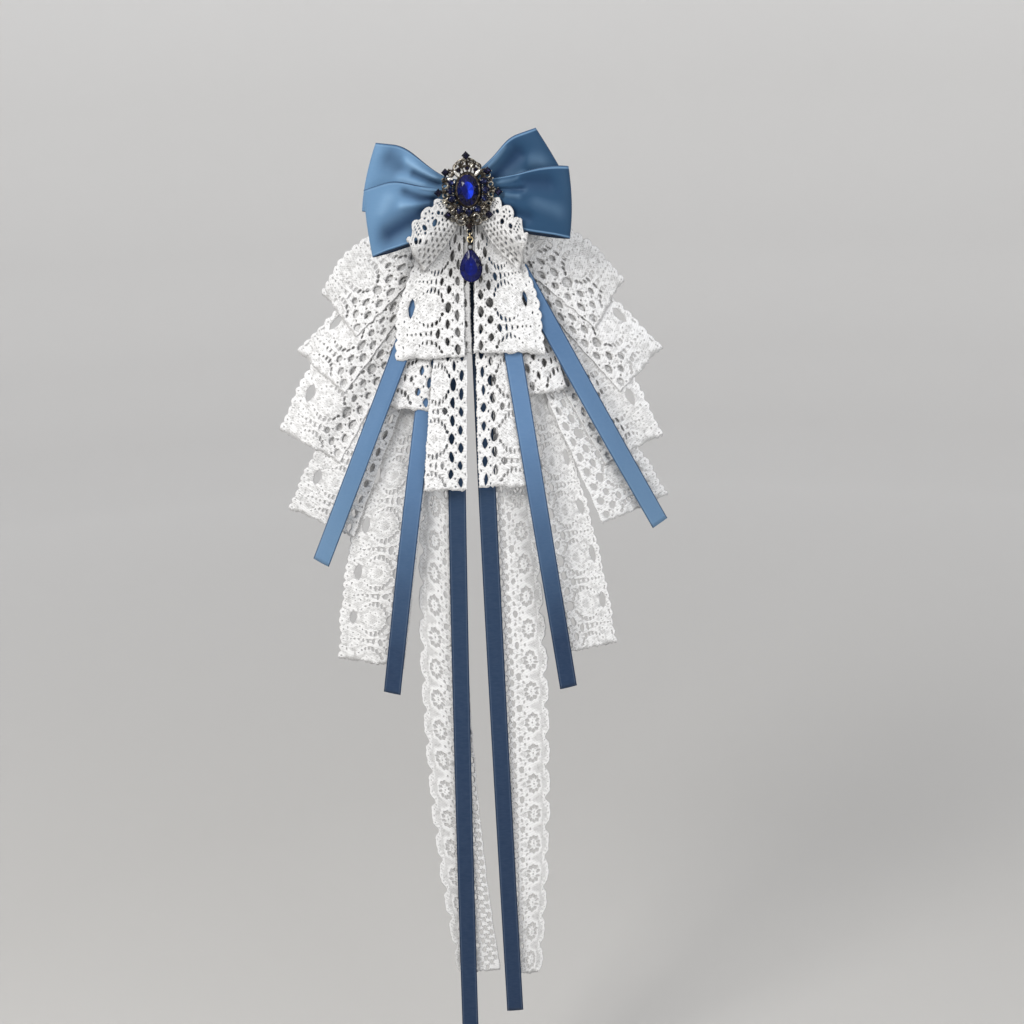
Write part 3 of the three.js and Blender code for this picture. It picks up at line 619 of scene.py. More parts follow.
# Frills: short lengths of fine guipure lace with little flowers and pointed scallops. They are gathered
# behind the brooch, lie over the lower edge of the front bow and fall back on the panels under it.
FRILL_PITCH = 26
NOTCH = 5.2
FRILL_OVER = {"gap": 1.5, "edge": -12, "slope": 0.66, "fall": 16}
LOOP_LENGTH = 65
LOOP_HALF = [(3, 1.2), (15, 1.4), (27, 2.7), (40, 4.1), (52, 4.2), (60, 3.3), (64, 1.5)]
# The front bow's loops, left and right, and how far forward they lie at the knot and at their ends
FRONT_LOOPS = {-1: {"rise": -15.4, "length": 67.5}, 1: {"rise": -9.2, "length": 65.5}}
FRONT_Y = (-32, -39.6)


def loop_middle(along, knot_y, out_y):
    """The depth of a loop's middle, which comes forward from the knot."""
    return lerp(knot_y, out_y, smooth((along - 17) / 18))


def loop_half(along):
    """Half the depth of the front bow's loops in the CAD."""
    if along <= LOOP_HALF[0][0]:
        return LOOP_HALF[0][1]
    for (a, low), (b, high) in zip(LOOP_HALF, LOOP_HALF[1:]):
        if along < b:
            return lerp(low, high, (along - a) / (b - a))
    return LOOP_HALF[-1][1]


def over_bow(x, z, level):
    """Where a frill lies: over the front bow's lower edge, and back on the panels under it."""
    loop = FRONT_LOOPS[-1 if x < 0 else 1]
    rise = math.radians(loop["rise"])
    along = (abs(x) * math.cos(rise) + z * math.sin(rise)) * LOOP_LENGTH / loop["length"]
    bow = loop_middle(along, *FRONT_Y) - loop_half(along) - FRILL_OVER["gap"]
    edge = FRILL_OVER["edge"] - FRILL_OVER["slope"] * abs(x)
    return lerp(cloth_y(x, z, level), bow, smooth((z - edge + FRILL_OVER["fall"]) / FRILL_OVER["fall"]))


def ruffled(x, z, row, across, along, s, v):
    """The front of a frill: ruffles that grow to its edge, and small gathers where it is sewn on."""
    ruffle = 0.9 * abs(math.sin(v / 4.2 + 2 * across)) ** 0.7 * smooth(across * 1.6)
    gathers = 0.75 * (1 + math.sin(TURN * v / 4.4 + 3 * across)) * (1 - smooth(across * 1.2))
    return over_bow(x, z, row["level"]) - 0.5 - ruffle - gathers


def back_ruffled(x, z, row, across, along, s, v):
    return cloth_y(x, z, row["level"]) - 0.7 - 0.5 * math.sin(v / 2.6)


def frill_holes(width, pitch):
    """Flowers round a star of holes, leaves with a ladder of slots between them, and corded net behind."""
    outer = width - 6.0
    for i in range(6):
        angle = TURN * (i + 0.25) / 6
        yield eyelet(outer + 2.5 * math.cos(angle), 2.6 * math.sin(angle), 0.85, 0.68, angle, 0, 6)
    for side in (-1, 1):
        yield eyelet(outer - 3.0, side * 6.3, 1.7, 1.5, 0.5 * side, 0.1)
        for i in range(4):
            yield eyelet(outer - 2.2 + 1.6 * i, pitch / 2 + side * 1.15, 0.45, 0.8, 0.25 * side, 0, 5)
        yield eyelet(outer - 5.4, pitch / 2 + side * 2.6, 0.95, 1.2, 0.6 * side, 0, 6)
    yield eyelet(outer - 5.6, 0, 1.9, 1.7, 0, 0)
    yield eyelet(outer - 8.8, pitch / 2, 1.2, 1.5, 0, 0.2, 6)
    for i in range(6):
        v = (i + 0.5) * pitch / 6
        yield eyelet(2.0, v, 0.5, 1.1, sides=5)
        yield eyelet(4.6, v + pitch / 12, 0.7, 1.4, 0, 0.3, 6)
        yield eyelet(7.3, v, 0.7, 1.2, 0.4, 0, 6)
        yield eyelet(10.0, v + pitch / 12, 0.7, 1.1, 0.5, 0, 6)
        yield eyelet(12.6, v, 0.7, 1.0, 0.3, 0, 6)


def frill_motif(width, pitch):
    """The frill's holes, without those that would run into an earlier one."""
    holes = list(frill_holes(width, pitch))
    return [
        h for i, h in enumerate(holes)
        if not any(in_hole(s, v, g, 0.35, pitch) for g in holes[:i] for s, v in h["ring"])
    ]


def frill_edge(v, pitch):
    """A round lobe by each flower and a sharp three-pointed one by each leaf, with deep notches between."""
    share = (v / pitch) % 1
    flower = min(share, 1 - share) / 0.235
    leaf = abs(share - 0.5) / 0.25
    if flower < 1:
        petals = 0.5 * abs(math.sin(4 * math.pi * flower)) * (1 - flower)
        return NOTCH - 4.4 * math.sqrt(1 - flower ** 2) - petals
    if leaf < 1:
        return NOTCH - NOTCH * (1 - leaf) ** 0.8 - 0.8 * abs(math.sin(3 * math.pi * leaf))
    return NOTCH


GUIPURE = lace_finishes("guipure_lace", (0.92, 0.915, 0.905), (0.56, 0.555, 0.55), 0.0007, 0.0014)
FRILLS = table(
    STRIP,
    ("frill_left", 12, 27, (-10, -2), (-33, -5), (-41, -29), (-33, -53), (-6, -15), (-6, -30)),
    ("frill_right", 13, 27, (10, -2), (30, -6), (38, -28), (33, -55), (6, -15), (7, -32)),
    ("frill_back_right", 12, 20, (20, -22), (44, -26), (49, -35), (36, -50), (18, -27)),
)
for row in FRILLS:
    lies = back_ruffled if "back" in row["name"] else ruffled
    lace = lace_sheet(
        row["name"] + "_lace", row, FRILL_PITCH, frill_motif, frill_edge, lies, wall=0.55, steps=(1.9, 1.9),
    )
    fit_lace(lace, row["name"], GUIPURE)

# Satin ribbons: six lengths of 12 mm double-faced satin with a woven selvedge, cut off straight. The outer
# and middle pairs are mid blue and the long inner pair is navy, each with a painted tone of light and shade
# along its length: deeper downwards on the middle and inner pairs, lighter towards the end on the outer pair.
RIBBON_WIDTH = 12
RIBBON_WALL = 0.45
SETTLE_FROM = 0.68
RIBBONS = table(
    ("name", "look", "level", "end_level", "top", "bend", "end"),
    ("ribbon_inner_left", "navy", 2, 2, (-9.5, -14), (-19, -250), (-23.5, -617)),
    ("ribbon_inner_right", "navy", 2, 2, (3.5, -14), (4, -250), (10.5, -599)),
    ("ribbon_middle_left", "deepening", 7, 3.4, (-12, -12), (-38, -150), (-68, -346)),
    ("ribbon_middle_right", "deepening", 9, 3.4, (12, -12), (28, -120), (56.5, -345)),
    ("ribbon_outer_left", "blue", 10, 6.5, (-9, -10), (-50, -107), (-113, -251)),
    ("ribbon_outer_right", "blue", 10, 6.5, (9, -10), (50, -90), (124, -233)),
)


def satin_finish(name, near, far, width, start, end, gloss=0.42, fibre_bump=0.12):
    """Satin with fine crosswise ribs, dark selvedges with a pale line inside, and a painted tone of light and
    shade along its length.
    """
    finish = Finish(
        name, Roughness=gloss, Specular_IOR_Level=0.3, Specular_Tint=(0.55, 0.78, 1.0, 1), Anisotropic=0.6,
        Sheen_Weight=0.03, Sheen_Roughness=0.4, Sheen_Tint=(0.6, 0.8, 1.0, 1),
    )
    u, v = finish.cut()
    from_edge = width / 2 - (u - width / 2).size()
    cloud = finish.noise(38, 3)
    # Painted light and shade: the colour changes along the ribbon, with random clouds
    tone = (v.step(start, end) + 0.25 * (cloud - 0.5)).clamped()
    body = finish.mix(tone, near, far)
    fibre = finish.noise(900, 2, stretch=(0.25, 1, 1))
    body = finish.mix((0.04 * fibre).clamped(), body, (0.6, 0.7, 0.8))
    selvedge = 1 - from_edge.step(0.0003, 0.0009)
    line = from_edge.step(0.0008, 0.0011) * (1 - from_edge.step(0.0012, 0.0016))
    body = finish.mix(0.07 * line, body, (0.55, 0.66, 0.78))
    body = finish.mix(0.6 * selvedge, body, (0.012, 0.025, 0.06))
    finish.feed("Base Color", body)
    ribs = (v * (TURN / 0.00042)).sine()
    threads = (u * (TURN / 0.00055) + 3 * fibre).sine()
    height = 0.35 * ribs + 0.2 * threads + 0.8 * selvedge + 0.5 * cloud
    finish.bump(height, fibre_bump, 0.00025)
    finish.feed("Roughness", gloss - 0.08 + 0.16 * cloud + 0.1 * selvedge)
    return finish


# Each look's colour at the root and at the end, which paint light and shade along the ribbon, and where along
# the ribbon it changes, in metres
SATIN = {
    look: satin_finish(look + "_satin", near, far, RIBBON_WIDTH * MM, start, end).material
    for look, near, far, start, end in (
        ("navy", (0.016, 0.036, 0.080), (0.008, 0.022, 0.060), 0.15, 0.5),
        ("deepening", (0.090, 0.172, 0.31), (0.010, 0.026, 0.068), 0.17, 0.31),
        ("blue", (0.062, 0.130, 0.25), (0.120, 0.215, 0.345), 0.12, 0.25),
    )
}


def grid_mesh(name, columns, rows, place):
    """A single layer of quads. place(column, row) gives a point in metres and its place on the flat cloth."""
    points, quads = grid(columns, rows)
    spots = [place(across, along) for across, along in points]
    return cloth_mesh(name, [point for point, _ in spots], quads, [flat for _, flat in spots])


def ribbon_sheet(row):
    top, bend, end = (Vector(row[k]) for k in ("top", "bend", "end"))
    length = strip_length(lambda across, along: bezier(top, bend, end, along), steps=160)

    def place(column, along):
        centre = bezier(top, bend, end, along)
        ahead = (bend - top).lerp(end - bend, along).normalized()
        side = Vector((-ahead.y, ahead.x))
        spot = centre + side * ((column - 0.5) * RIBBON_WIDTH)
        level = lerp(row["level"], row["end_level"], smooth((along - SETTLE_FROM) / (1 - SETTLE_FROM)))
        cup = 0.25 * (2 * column - 1) ** 2
        ripple = 0.22 * noise.noise(Vector((top.x, along * length / 26, column * 0.7)))
        y = cloth_y(spot.x, spot.y, level) - 0.85 + cup - ripple
        return (spot.x * MM, y * MM, spot.y * MM), (column * RIBBON_WIDTH * MM, along * length * MM)

    mesh = grid_mesh(row["name"] + "_satin", 8, int(length / 2.5), place)
    mesh.flip_normals()
    COVERS[row["name"]] = ([v.co.copy() for v in mesh.vertices], [tuple(f.vertices) for f in mesh.polygons])
    ribbon = placed(row["name"] + "_satin", mesh)
    add_wall(ribbon, RIBBON_WALL)
    return ribbon, length * MM


for row in RIBBONS:
    ribbon, length = ribbon_sheet(row)
    slot = "ribbon_navy" if row["look"] == "navy" else "ribbon_blue"
    dress(ribbon, BODY, [row["name"]], [SATIN[row["look"]]])

# Bow: two bows of 40 mm satin ribbon on each other. Each is one length of ribbon folded into two hollow
# loops and gathered in the middle, so the satin is pleated at the knot and soft dents run into it.
BOW_RIBBON = 40
BOW_WALL = 0.55
PINCH = 0.36
GATHERS = {"depth": 1.3, "reach": 19, "turn": 9.5}
# Where a loop's fold begins, half the hollow between its two plies there, and the steps of its mesh
FOLD_FROM = 55
HOLLOW_HALF = 4.2
PLY_STEPS = 45
FOLD_STEPS = 16
LOOP_COLUMNS = 44
# Top is the upper selvedge's share of the ribbon's half width: at the pinch, up to which place along, from
# which place on it is full, and its share there
LOOPS = table(
    ("bow", "side", "rise", "length", "slant", "knot_y", "out_y", "hang", "bulge", "top"),
    ("bow_back", -1, 8, 64.5, -0.12, -27.9, -29.4, 0.4, 1.6, (0.25, 8, 54, 1.14)),
    ("bow_back", 1, 17, 58.5, -0.22, -27.9, -29.4, 0.4, 0.6, (0.38, 0, 52, 1.12)),
    ("bow_front", -1, *FRONT_LOOPS[-1].values(), -0.2, *FRONT_Y, 2.4, 0.8, (0.20, 6, 52, 1.0)),
    ("bow_front", 1, *FRONT_LOOPS[1].values(), -0.16, *FRONT_Y, 2.4, 1.6, (0.30, -4, 66, 1.15)),
)
# Soft dents and pleats of the front ply: which loop, from (along, up) to (along, up), reach and depth. Along
# is in millimetres from the knot and up runs from -1 at the lower selvedge to 1 at the upper one.
# Their depth also sets painted shade in the dents and painted highlight on the ridges
DENTS = [
    (0, (53, 0.62), (47, 0.45), 0.30, 1.6), (0, (19, 0.12), (36, 0.33), 0.13, 1.9),
    (0, (22, 0.52), (42, 0.66), 0.14, -1.3), (0, (30, 0.02), (44, 0.12), 0.16, -0.9),
    (0, (16, -0.6), (30, -0.5), 0.16, 1.2),
    (1, (20, 0.15), (44, 0.5), 0.26, 2.3), (1, (16, 0.72), (36, 0.92), 0.14, -1.0),
    (1, (18, -0.25), (40, -0.12), 0.15, -1.2), (1, (50, 0.2), (55, 0.1), 0.24, -0.9),
    (1, (18, -0.6), (34, -0.45), 0.13, 1.3),
    (2, (22, 0.1), (38, 0.6), 0.17, 2.1), (2, (28, -0.22), (52, -0.54), 0.38, 2.7),
    (2, (16, 0.62), (26, 0.85), 0.12, -0.9), (2, (26, 0.0), (42, 0.16), 0.13, -1.2),
    (2, (50, 0.5), (54, 0.2), 0.2, -0.6),
    (3, (17, 0.24), (34, 0.30), 0.11, 1.6), (3, (18, 0.0), (32, 0.02), 0.11, -0.8),
    (3, (38, 0.55), (50, 0.52), 0.28, 1.7), (3, (20, -0.5), (38, -0.6), 0.17, 1.5),
    (3, (18, 0.62), (30, 0.76), 0.11, -0.7), (3, (44, -0.1), (56, -0.25), 0.22, -0.6),
]


def dent_depth(loop, along, up):
    """Depth of the dents at a place on the loop's front."""
    depth = 0.0
    spot = Vector((along / 20, up))
    for which, (a0, u0), (a1, u1), reach, deep in DENTS:
        if which == loop:
            start, end = Vector((a0 / 20, u0)), Vector((a1 / 20, u1))
            share = min(1.0, max(0.0, (spot - start).dot(end - start) / (end - start).length_squared))
            away = (spot - start.lerp(end, share)).length / reach
            depth += deep * math.exp(-away ** 2)
    return depth


def loop_profile():
    """The ribbon's path in plan, out along the front, round the fold and back: (along, offset, is front)."""
    path = []
    for i in range(PLY_STEPS + 1):
        along = lerp(2.0, FOLD_FROM, i / PLY_STEPS)
        path.append((along, -lerp(1.2, HOLLOW_HALF, smooth((along - 13) / 29)), 1))
    for i in range(1, FOLD_STEPS):
        angle = math.pi * i / FOLD_STEPS
        along = FOLD_FROM + (LOOP_LENGTH - FOLD_FROM) * math.sin(angle)
        path.append((along, -HOLLOW_HALF * math.cos(angle), 1 - i / FOLD_STEPS))
    path += [(along, -offset, 0) for along, offset, _ in reversed(path[:PLY_STEPS + 1])]
    return path


def loop_mesh(number, row):
    path = loop_profile()
    travelled = [0.0]
    for (a, b, _), (c, d, _) in zip(path, path[1:]):
        travelled.append(travelled[-1] + math.hypot(c - a, d - b))
    rise = math.radians(row["rise"])

    def place(column, share):
        index = round(share * (len(path) - 1))
        along, offset, front = path[index]
        up = 2 * column - 1
        gathered = lerp(PINCH, 1, smooth(along / 40)) * lerp(1, 1.05, along / LOOP_LENGTH)
        pinch, start, full, wide = row["top"]
        top = lerp(pinch, wide, smooth((along - start) / (full - start)))
        height = up * BOW_RIBBON / 2 * lerp(gathered, top, (1 + up) / 2)
        out = along * row["length"] / LOOP_LENGTH + height * row["slant"] * smooth((along - 20) / 30)
        out += row["bulge"] * (1 - up * up) * smooth((along - 38) / 27)
        if up < 0:
            height += row["hang"] * up * (1 - front) * smooth(along / 30)
        y = loop_middle(along, row["knot_y"], row["out_y"]) + offset
        outward = 2 * front - 1
        gather = 0.5 + 0.5 * math.cos(up * GATHERS["turn"] + row["rise"])
        fan = math.exp(-along / GATHERS["reach"]) * smooth(along / 6)
        y -= GATHERS["depth"] * fan * gather * outward
        settled = 1 - smooth((along - 52) / 10)
        y += dent_depth(number, along, up) * (outward if outward > 0 else 0.4 * outward) * settled
        y += (0.5 * abs(up) ** 5 - 0.3) * outward * smooth((along - 8) / 10)
        y += 0.16 * noise.noise(Vector((along / 11, up * 1.6, row["rise"]))) * front
        x = row["side"] * (out * math.cos(rise) - height * math.sin(rise))
        z = out * math.sin(rise) + height * math.cos(rise)
        return (x * MM, y * MM, z * MM), (column * BOW_RIBBON * MM, travelled[index] * MM)

    mesh = grid_mesh("loop", LOOP_COLUMNS, len(path) - 1, place)
    dent_shade_and_shine = mesh.attributes.new("dent_shade_and_shine", "FLOAT", "POINT")
    for index, spot in enumerate(dent_shade_and_shine.data):
        row_index, column = divmod(index, LOOP_COLUMNS + 1)
        along, _, front = path[row_index]
        dent = dent_depth(number, along, 2 * column / LOOP_COLUMNS - 1)
        # Painted shade in the dents and near the knot, and painted highlight on the ridges, kept for the
        # satin
        spot.value = dent / 2 * smooth(front * 3) + 0.5 * math.exp(-along / 9)
    if row["side"] > 0:
        mesh.flip_normals()
    return mesh, travelled[-1]


def joined(name, meshes, looks=(0, 0)):
    """One object of meshes that are already in place, each with the material of its number in looks."""
    made = bmesh.new()
    for mesh, look in zip(meshes, looks):
        mesh.polygons.foreach_set("material_index", [look] * len(mesh.polygons))
        made.from_mesh(mesh)
    whole = bpy.data.meshes.new(name)
    made.to_mesh(whole)
    made.free()
    return placed(name, whole)


def bow_finish(name, light, deep, shade, shine):
    """The bow's satin, with painted light and shade: lighter on its own right wing and darker on its left,
    painted shade in its dents and near the knot, and painted highlight on its ridges.
    """
    width = BOW_RIBBON * MM
    finish = satin_finish(name, light, light, width, 0.02, 0.12, 0.5, 0.07)
    body = Value(finish.tree, finish.shader.inputs["Base Color"].links[0].from_socket)
    # Painted shade: the wing to +x is darker, as the light falls from the other side
    across = finish.node("SeparateXYZ", inputs={0: finish.place()}).step(-0.035, 0.03)
    dent_shade_and_shine = finish.stored("dent_shade_and_shine")
    from_edge = width / 2 - (finish.cut()[0] - width / 2).size()
    kept = from_edge.step(0.0009, 0.0017)
    body = finish.mix(across * kept, body, deep)
    # Painted shade in the dents and at the knot, and painted highlight on the ridges
    body = finish.mix((0.68 * dent_shade_and_shine * kept).clamped(), body, shade)
    body = finish.mix((-1.0 * dent_shade_and_shine * kept * (1 - 0.6 * across)).clamped(), body, shine)
    finish.feed("Base Color", body)
    return finish.material


STEEL_BLUE = bow_finish(
    "steel_blue_satin",
    (0.108, 0.212, 0.35), (0.018, 0.052, 0.108), (0.012, 0.030, 0.075), (0.25, 0.40, 0.57),
)
# The inside of the loops: a dark copy of the satin, painted shade
SHADED_INSIDE = bow_finish(
    "bow_inside_painted_shade_satin",
    (0.010, 0.018, 0.045), (0.008, 0.014, 0.038), (0.006, 0.01, 0.026), (0.012, 0.02, 0.05),
)
for bow in ("bow_back", "bow_front"):
    meshes, run = [], 0.0
    for number, row in enumerate(LOOPS):
        if row["bow"] == bow:
            mesh, length = loop_mesh(number, row)
            meshes.append(mesh)
            run += length
    piece = joined(bow + "_satin", meshes)
    add_wall(piece, BOW_WALL, 1)
    dress(piece, BODY, [bow], [STEEL_BLUE, SHADED_INSIDE])
    run * MM

# Brooch: an antique bronze casting. A bezel with a milled lip and claws holds the centre stone, scrolls of
# wire run round it between two rims, three arches form a crown above, scallops hang below, and square
# settings stand on the points.
BACK_Y = -36.9
PLATE = 1.5
DROP_Y = BACK_Y - PLATE / 2
LINK = {"eyelet_z": -26.3, "radius": 1.75, "wire": 0.42, "play": 0.2}
POINT_STONES = [(-0.5, 21.6), (-14, 11.4), (13, 11.6), (-19, -1.2), (19.4, -1.6), (-13.6, -15.6), (13, -15.8)]
BOTTOM_STONE = (0, -22.6)
CROWN_STONES = [(-5.4, 12.6), (0, 13.8), (5.4, 12.6)]
RING_OVAL = (11.2, 14)
RING_ANGLES = [158, 180, 202, 240, 270, 300, 338, 0, 22]
# Half width, half height and depth of the bezel's and the rim's sections, and of a spoke's path
BEZEL = [
    (8.6, 11.6, BACK_Y), (8.5, 11.5, -38.8), (7.4, 10.4, -39.9), (6.5, 9.5, -39.9), (6.2, 9.2, -39.0),
    (6.1, 9.1, BACK_Y),
]
RIM = [
    (13.0, 15.9, BACK_Y), (13.0, 15.9, -37.8), (12.2, 15.1, -38.2), (11.6, 14.5, -37.8), (11.6, 14.5, BACK_Y),
]
SPOKE = [(8.2, 11.2, -37.7), (12.6, 15.6, -37.6), (15.4, 18.4, -37.6)]
# Depths of the casting's layers, from the gallery at the back to the claws on the centre stone
GALLERY_Y = -37.6
SCROLL_Y = -38.0
ARCH_Y = -38.3
SEAT_Y = -38.9
CLAW_Y = -39.6
LIP_Y = -39.75
BEZEL_CLAW_Y = -40.4


def bridge(made, low, high):
    """A smooth band of faces between two closed rings of points."""
    for k in range(len(low)):
        n = (k + 1) % len(low)
        made.faces.new((low[k], low[n], high[n], high[k])).smooth = True


def add_wire(made, path, radius, closed=False, sides=7, axis=(0, 1, 0)):
    """A round wire on a path about square to the axis. The radius may be a function of the way along."""
    points = [Vector(p) for p in path]
    axis = Vector(axis)
    turns = [TURN * k / sides for k in range(sides)]
    rings = []
    for i, point in enumerate(points):
        before = points[i - 1] if closed or i else point
        after = points[(i + 1) % len(points)] if closed or i < len(points) - 1 else point
        ahead = (after - before).normalized()
        side = ahead.cross(axis).normalized()
        other = side.cross(ahead)
        r = radius(i / (len(points) - 1)) if callable(radius) else radius
        rings.append([
            made.verts.new(point + side * (r * math.cos(t)) + other * (r * math.sin(t))) for t in turns
        ])
    for low, high in zip(rings, rings[1:]):
        bridge(made, low, high)
    if closed:
        bridge(made, rings[-1], rings[0])
    else:
        made.faces.new(list(reversed(rings[0])))
        made.faces.new(rings[-1])


def add_bead(made, x, y, z, radius, stretch=(1, 1, 1), turn=0.0):
    shape = Matrix.Translation((x, y, z)) @ Matrix.Rotation(turn, 4, "Y") @ Matrix.Diagonal((*stretch, 1))
    beads = bmesh.ops.create_icosphere(made, subdivisions=2, radius=radius, matrix=shape)
    for vert in beads["verts"]:
        for face in vert.link_faces:
            face.smooth = True


def oval(half_x, half_z, angle, y=0.0):
    return (half_x * math.cos(angle), y, half_z * math.sin(angle))


def arc(half_x, half_z, y, count, middle=(0, 0), start=0, end=360):
    """Points on an oval between two angles in degrees. A full turn doesn't repeat its start."""
    turns = [math.radians(lerp(start, end, i / count)) for i in range(count + (end - start < 360))]
    return [(middle[0] + half_x * math.cos(t), y, middle[1] + half_z * math.sin(t)) for t in turns]


def scroll(x, z, y, size, start, hand, turns, count=26):
    """A flat spiral that winds in from its start."""
    path = []
    for i in range(count + 1):
        share = i / count
        angle = start + hand * TURN * turns * share
        reach = size * (1 - 0.8 * share)
        path.append((x + reach * math.cos(angle), y, z + reach * math.sin(angle)))
    return path


def add_band(made, section, count=64):
    """A closed band swept round ovals."""
    rings = [[made.verts.new(oval(x, z, TURN * k / count, y)) for k in range(count)] for x, z, y in section]
    for low, high in zip(rings, rings[1:] + rings[:1]):
        bridge(made, low, high)


def cast_mesh(made, name):
    bmesh.ops.recalc_face_normals(made, faces=made.faces)
    mesh = bpy.data.meshes.new(name)
    made.to_mesh(mesh)
    made.free()
    mesh.transform(Matrix.Scale(MM, 4))
    return mesh


def finish_piece(shapes, name, materials, nodes, body):
    """Turns finished shapes into one object, each with the material of its place in the list."""
    piece = joined(name, [cast_mesh(shape, name) for shape in shapes], range(len(shapes)))
    dress(piece, body, nodes, materials)


def metal_finish(name, deep, bright, grain, low, high):
    """Cast metal, deep coloured in its grain and rubbed bright on the rest."""
    finish = Finish(name, Metallic=1.0)
    worn = finish.noise(grain, 5)
    finish.feed("Base Color", finish.mix(worn.step(low, high), deep, bright))
    finish.feed("Roughness", 0.46 - 0.24 * worn.step(low, high))
    finish.bump(finish.noise(1100, 3), 0.3, 0.00015)
    return finish.material


BRONZE = metal_finish("antique_bronze", (0.028, 0.023, 0.020), (0.17, 0.145, 0.115), 420, 0.44, 0.68)
WORN = metal_finish("worn_bronze", (0.045, 0.038, 0.030), (0.60, 0.56, 0.48), 420, 0.44, 0.64)
PALE = metal_finish("pale_bronze", (0.36, 0.33, 0.28), (0.86, 0.83, 0.77), 300, 0.30, 0.52)
dark, worn, pale = bmesh.new(), bmesh.new(), bmesh.new()
# Bezel with its milled lip and claws, rim and spokes
add_band(dark, BEZEL)
add_band(dark, RIM)
add_wire(worn, arc(13.3, 16.3, -37.9, 60, start=125, end=415), 0.36)
for i in range(46):
    add_bead(dark, *oval(7.6, 10.6, TURN * i / 46, LIP_Y), 0.34)
for i in range(6):
    add_bead(worn, *oval(6.9, 9.9, TURN * (i + 0.5) / 6, BEZEL_CLAW_Y), 0.5, (0.8, 1.6, 0.8))
for i in range(12):
    angle = TURN * (i + 0.5) / 12
    add_wire(dark, [oval(half_x, half_z, angle, y) for half_x, half_z, y in SPOKE], 0.45)
# Scrolls outside and inside the rim, with grains between them, and the wires of the gallery behind
for i in range(18):
    angle = TURN * (i + 0.5) / 18
    between = TURN * (i + 1) / 18
    hand = 1 if i % 2 else -1
    if math.sin(angle) < 0.72:
        x, _, z = oval(15.3, 18.3, angle)
        add_wire(worn, scroll(x, z, SCROLL_Y, 2.8, angle + 0.9 * hand, hand, 1.15), lambda t: 0.62 - 0.2 * t)
        add_bead(worn, *oval(17.3, 20.3, between, -37.9), 0.62)
    add_bead(dark, *oval(14.4, 17.4, between, -38.4), 0.8)
for i in range(16):
    angle = TURN * (i + 0.25) / 16
    if math.sin(angle) < 0.6:
        x, _, z = oval(10.1, 13.0, angle)
        add_wire(dark, scroll(x, z, -38.1, 1.7, angle, 1 if i % 2 else -1, 1.1, 18), 0.42)
add_wire(dark, arc(16.2, 19.2, GALLERY_Y, 60, start=135, end=405), 0.42)
for i in range(18):
    x, _, z = oval(13.6, 16.6, TURN * i / 18)
    add_wire(dark, arc(2.1, 2.1, -37.3, 14, (x, z)), 0.5, True, 5)
# Scallops below: a thick dark wire, a worn one on it and a small one inside
for i in range(5):
    x, _, z = oval(17.2, 20.2, math.radians(270 + 17 * (i - 2)))
    add_wire(dark, arc(2.9, 2.6, -37.4, 20, (x, z), 180, 360), 0.62)
    add_wire(worn, arc(2.9, 2.6, SCROLL_Y, 20, (x, z), 180, 360), 0.36)
    add_wire(dark, arc(1.6, 1.4, -37.7, 16, (x, z), 180, 360), 0.42)
# The crown's arches and scrolls, the pale petals beside it, and the seats of the small stones
add_wire(worn, arc(8.2, 8.3, -38.2, 36, (-0.4, 11.6), 8, 172), 0.62)
add_wire(dark, arc(8.9, 8.0, GALLERY_Y, 36, (-0.4, 11.4), 8, 172), 0.5)
for x, z, wide, high in ((-5.6, 12.2, 2.6, 4.2), (-0.4, 13.4, 2.9, 4.8), (5.0, 12.2, 2.6, 4.2)):
    add_wire(worn, arc(wide, high, ARCH_Y, 22, (x, z), 0, 180), 0.52)
    for side, start in ((-1, 0.4), (1, math.pi - 0.4)):
        curl = scroll(x + side * wide * 0.5, z + high * 0.95, -38.5, 1.2, start, -side, 1.0, 16)
        add_wire(worn, curl, 0.3)
PETALS = table(
    ("x", "z", "turn", "length"),
    (-6.7, 10.3, 0.85, 3.0), (6.3, 10.6, -0.85, 3.0), (-11.0, 7.2, -0.1, 2.0), (-9.0, 5.2, 0.5, 1.1),
)
for row in PETALS:
    add_bead(pale, row["x"], CLAW_Y, row["z"], 1.0, (row["length"], 0.6, 1.05), row["turn"])
for x, z in CROWN_STONES:
    add_wire(dark, arc(1.3, 1.3, SEAT_Y, 16, (x, z)), 0.3, True)
    add_wire(dark, [(x * 0.75, -37.8, z * 0.75), (x, ARCH_Y, z)], 0.45)
for x, z in POINT_STONES + [BOTTOM_STONE]:
    reach = math.hypot(x, z)
    near = (reach - 5.5) / reach
    add_wire(dark, [(x * near, GALLERY_Y, z * near), (x, GALLERY_Y, z)], 0.6)
    corners = [(x + 2.4 * math.cos(TURN * k / 4), z + 2.4 * math.sin(TURN * k / 4)) for k in range(4)]
    add_wire(dark, [(a, ARCH_Y, b) for a, b in corners], 0.36, True, 5)
    add_wire(dark, [(lerp(a, x, 0.1), -37.3, lerp(b, z, 0.1)) for a, b in corners], 0.42, True, 5)
    for a, b in corners:
        add_bead(worn, a, SEAT_Y, b, 0.4)
for degrees in RING_ANGLES:
    x, _, z = oval(*RING_OVAL, math.radians(degrees))
    for k in range(4):
        turn = math.radians(degrees + 45 + 90 * k)
        add_bead(worn, x + 2.35 * math.cos(turn), CLAW_Y, z + 2.35 * math.sin(turn), 0.42, (1, 1.3, 1))
# The eyelet of the drop, and the block behind the plate that the knot is sewn to
add_wire(worn, arc(LINK["radius"], LINK["radius"], DROP_Y, 28, (0, LINK["eyelet_z"])), LINK["wire"], True)
block = Matrix.Translation((0, -35.6, 0)) @ Matrix.Diagonal((11, 3.3, 16, 1))
bmesh.ops.create_cube(dark, size=1.0, matrix=block)
finish_piece(
    [dark, worn, pale], "brooch_metal", [BRONZE, WORN, PALE], ["brooch_frame"], BODY,
)

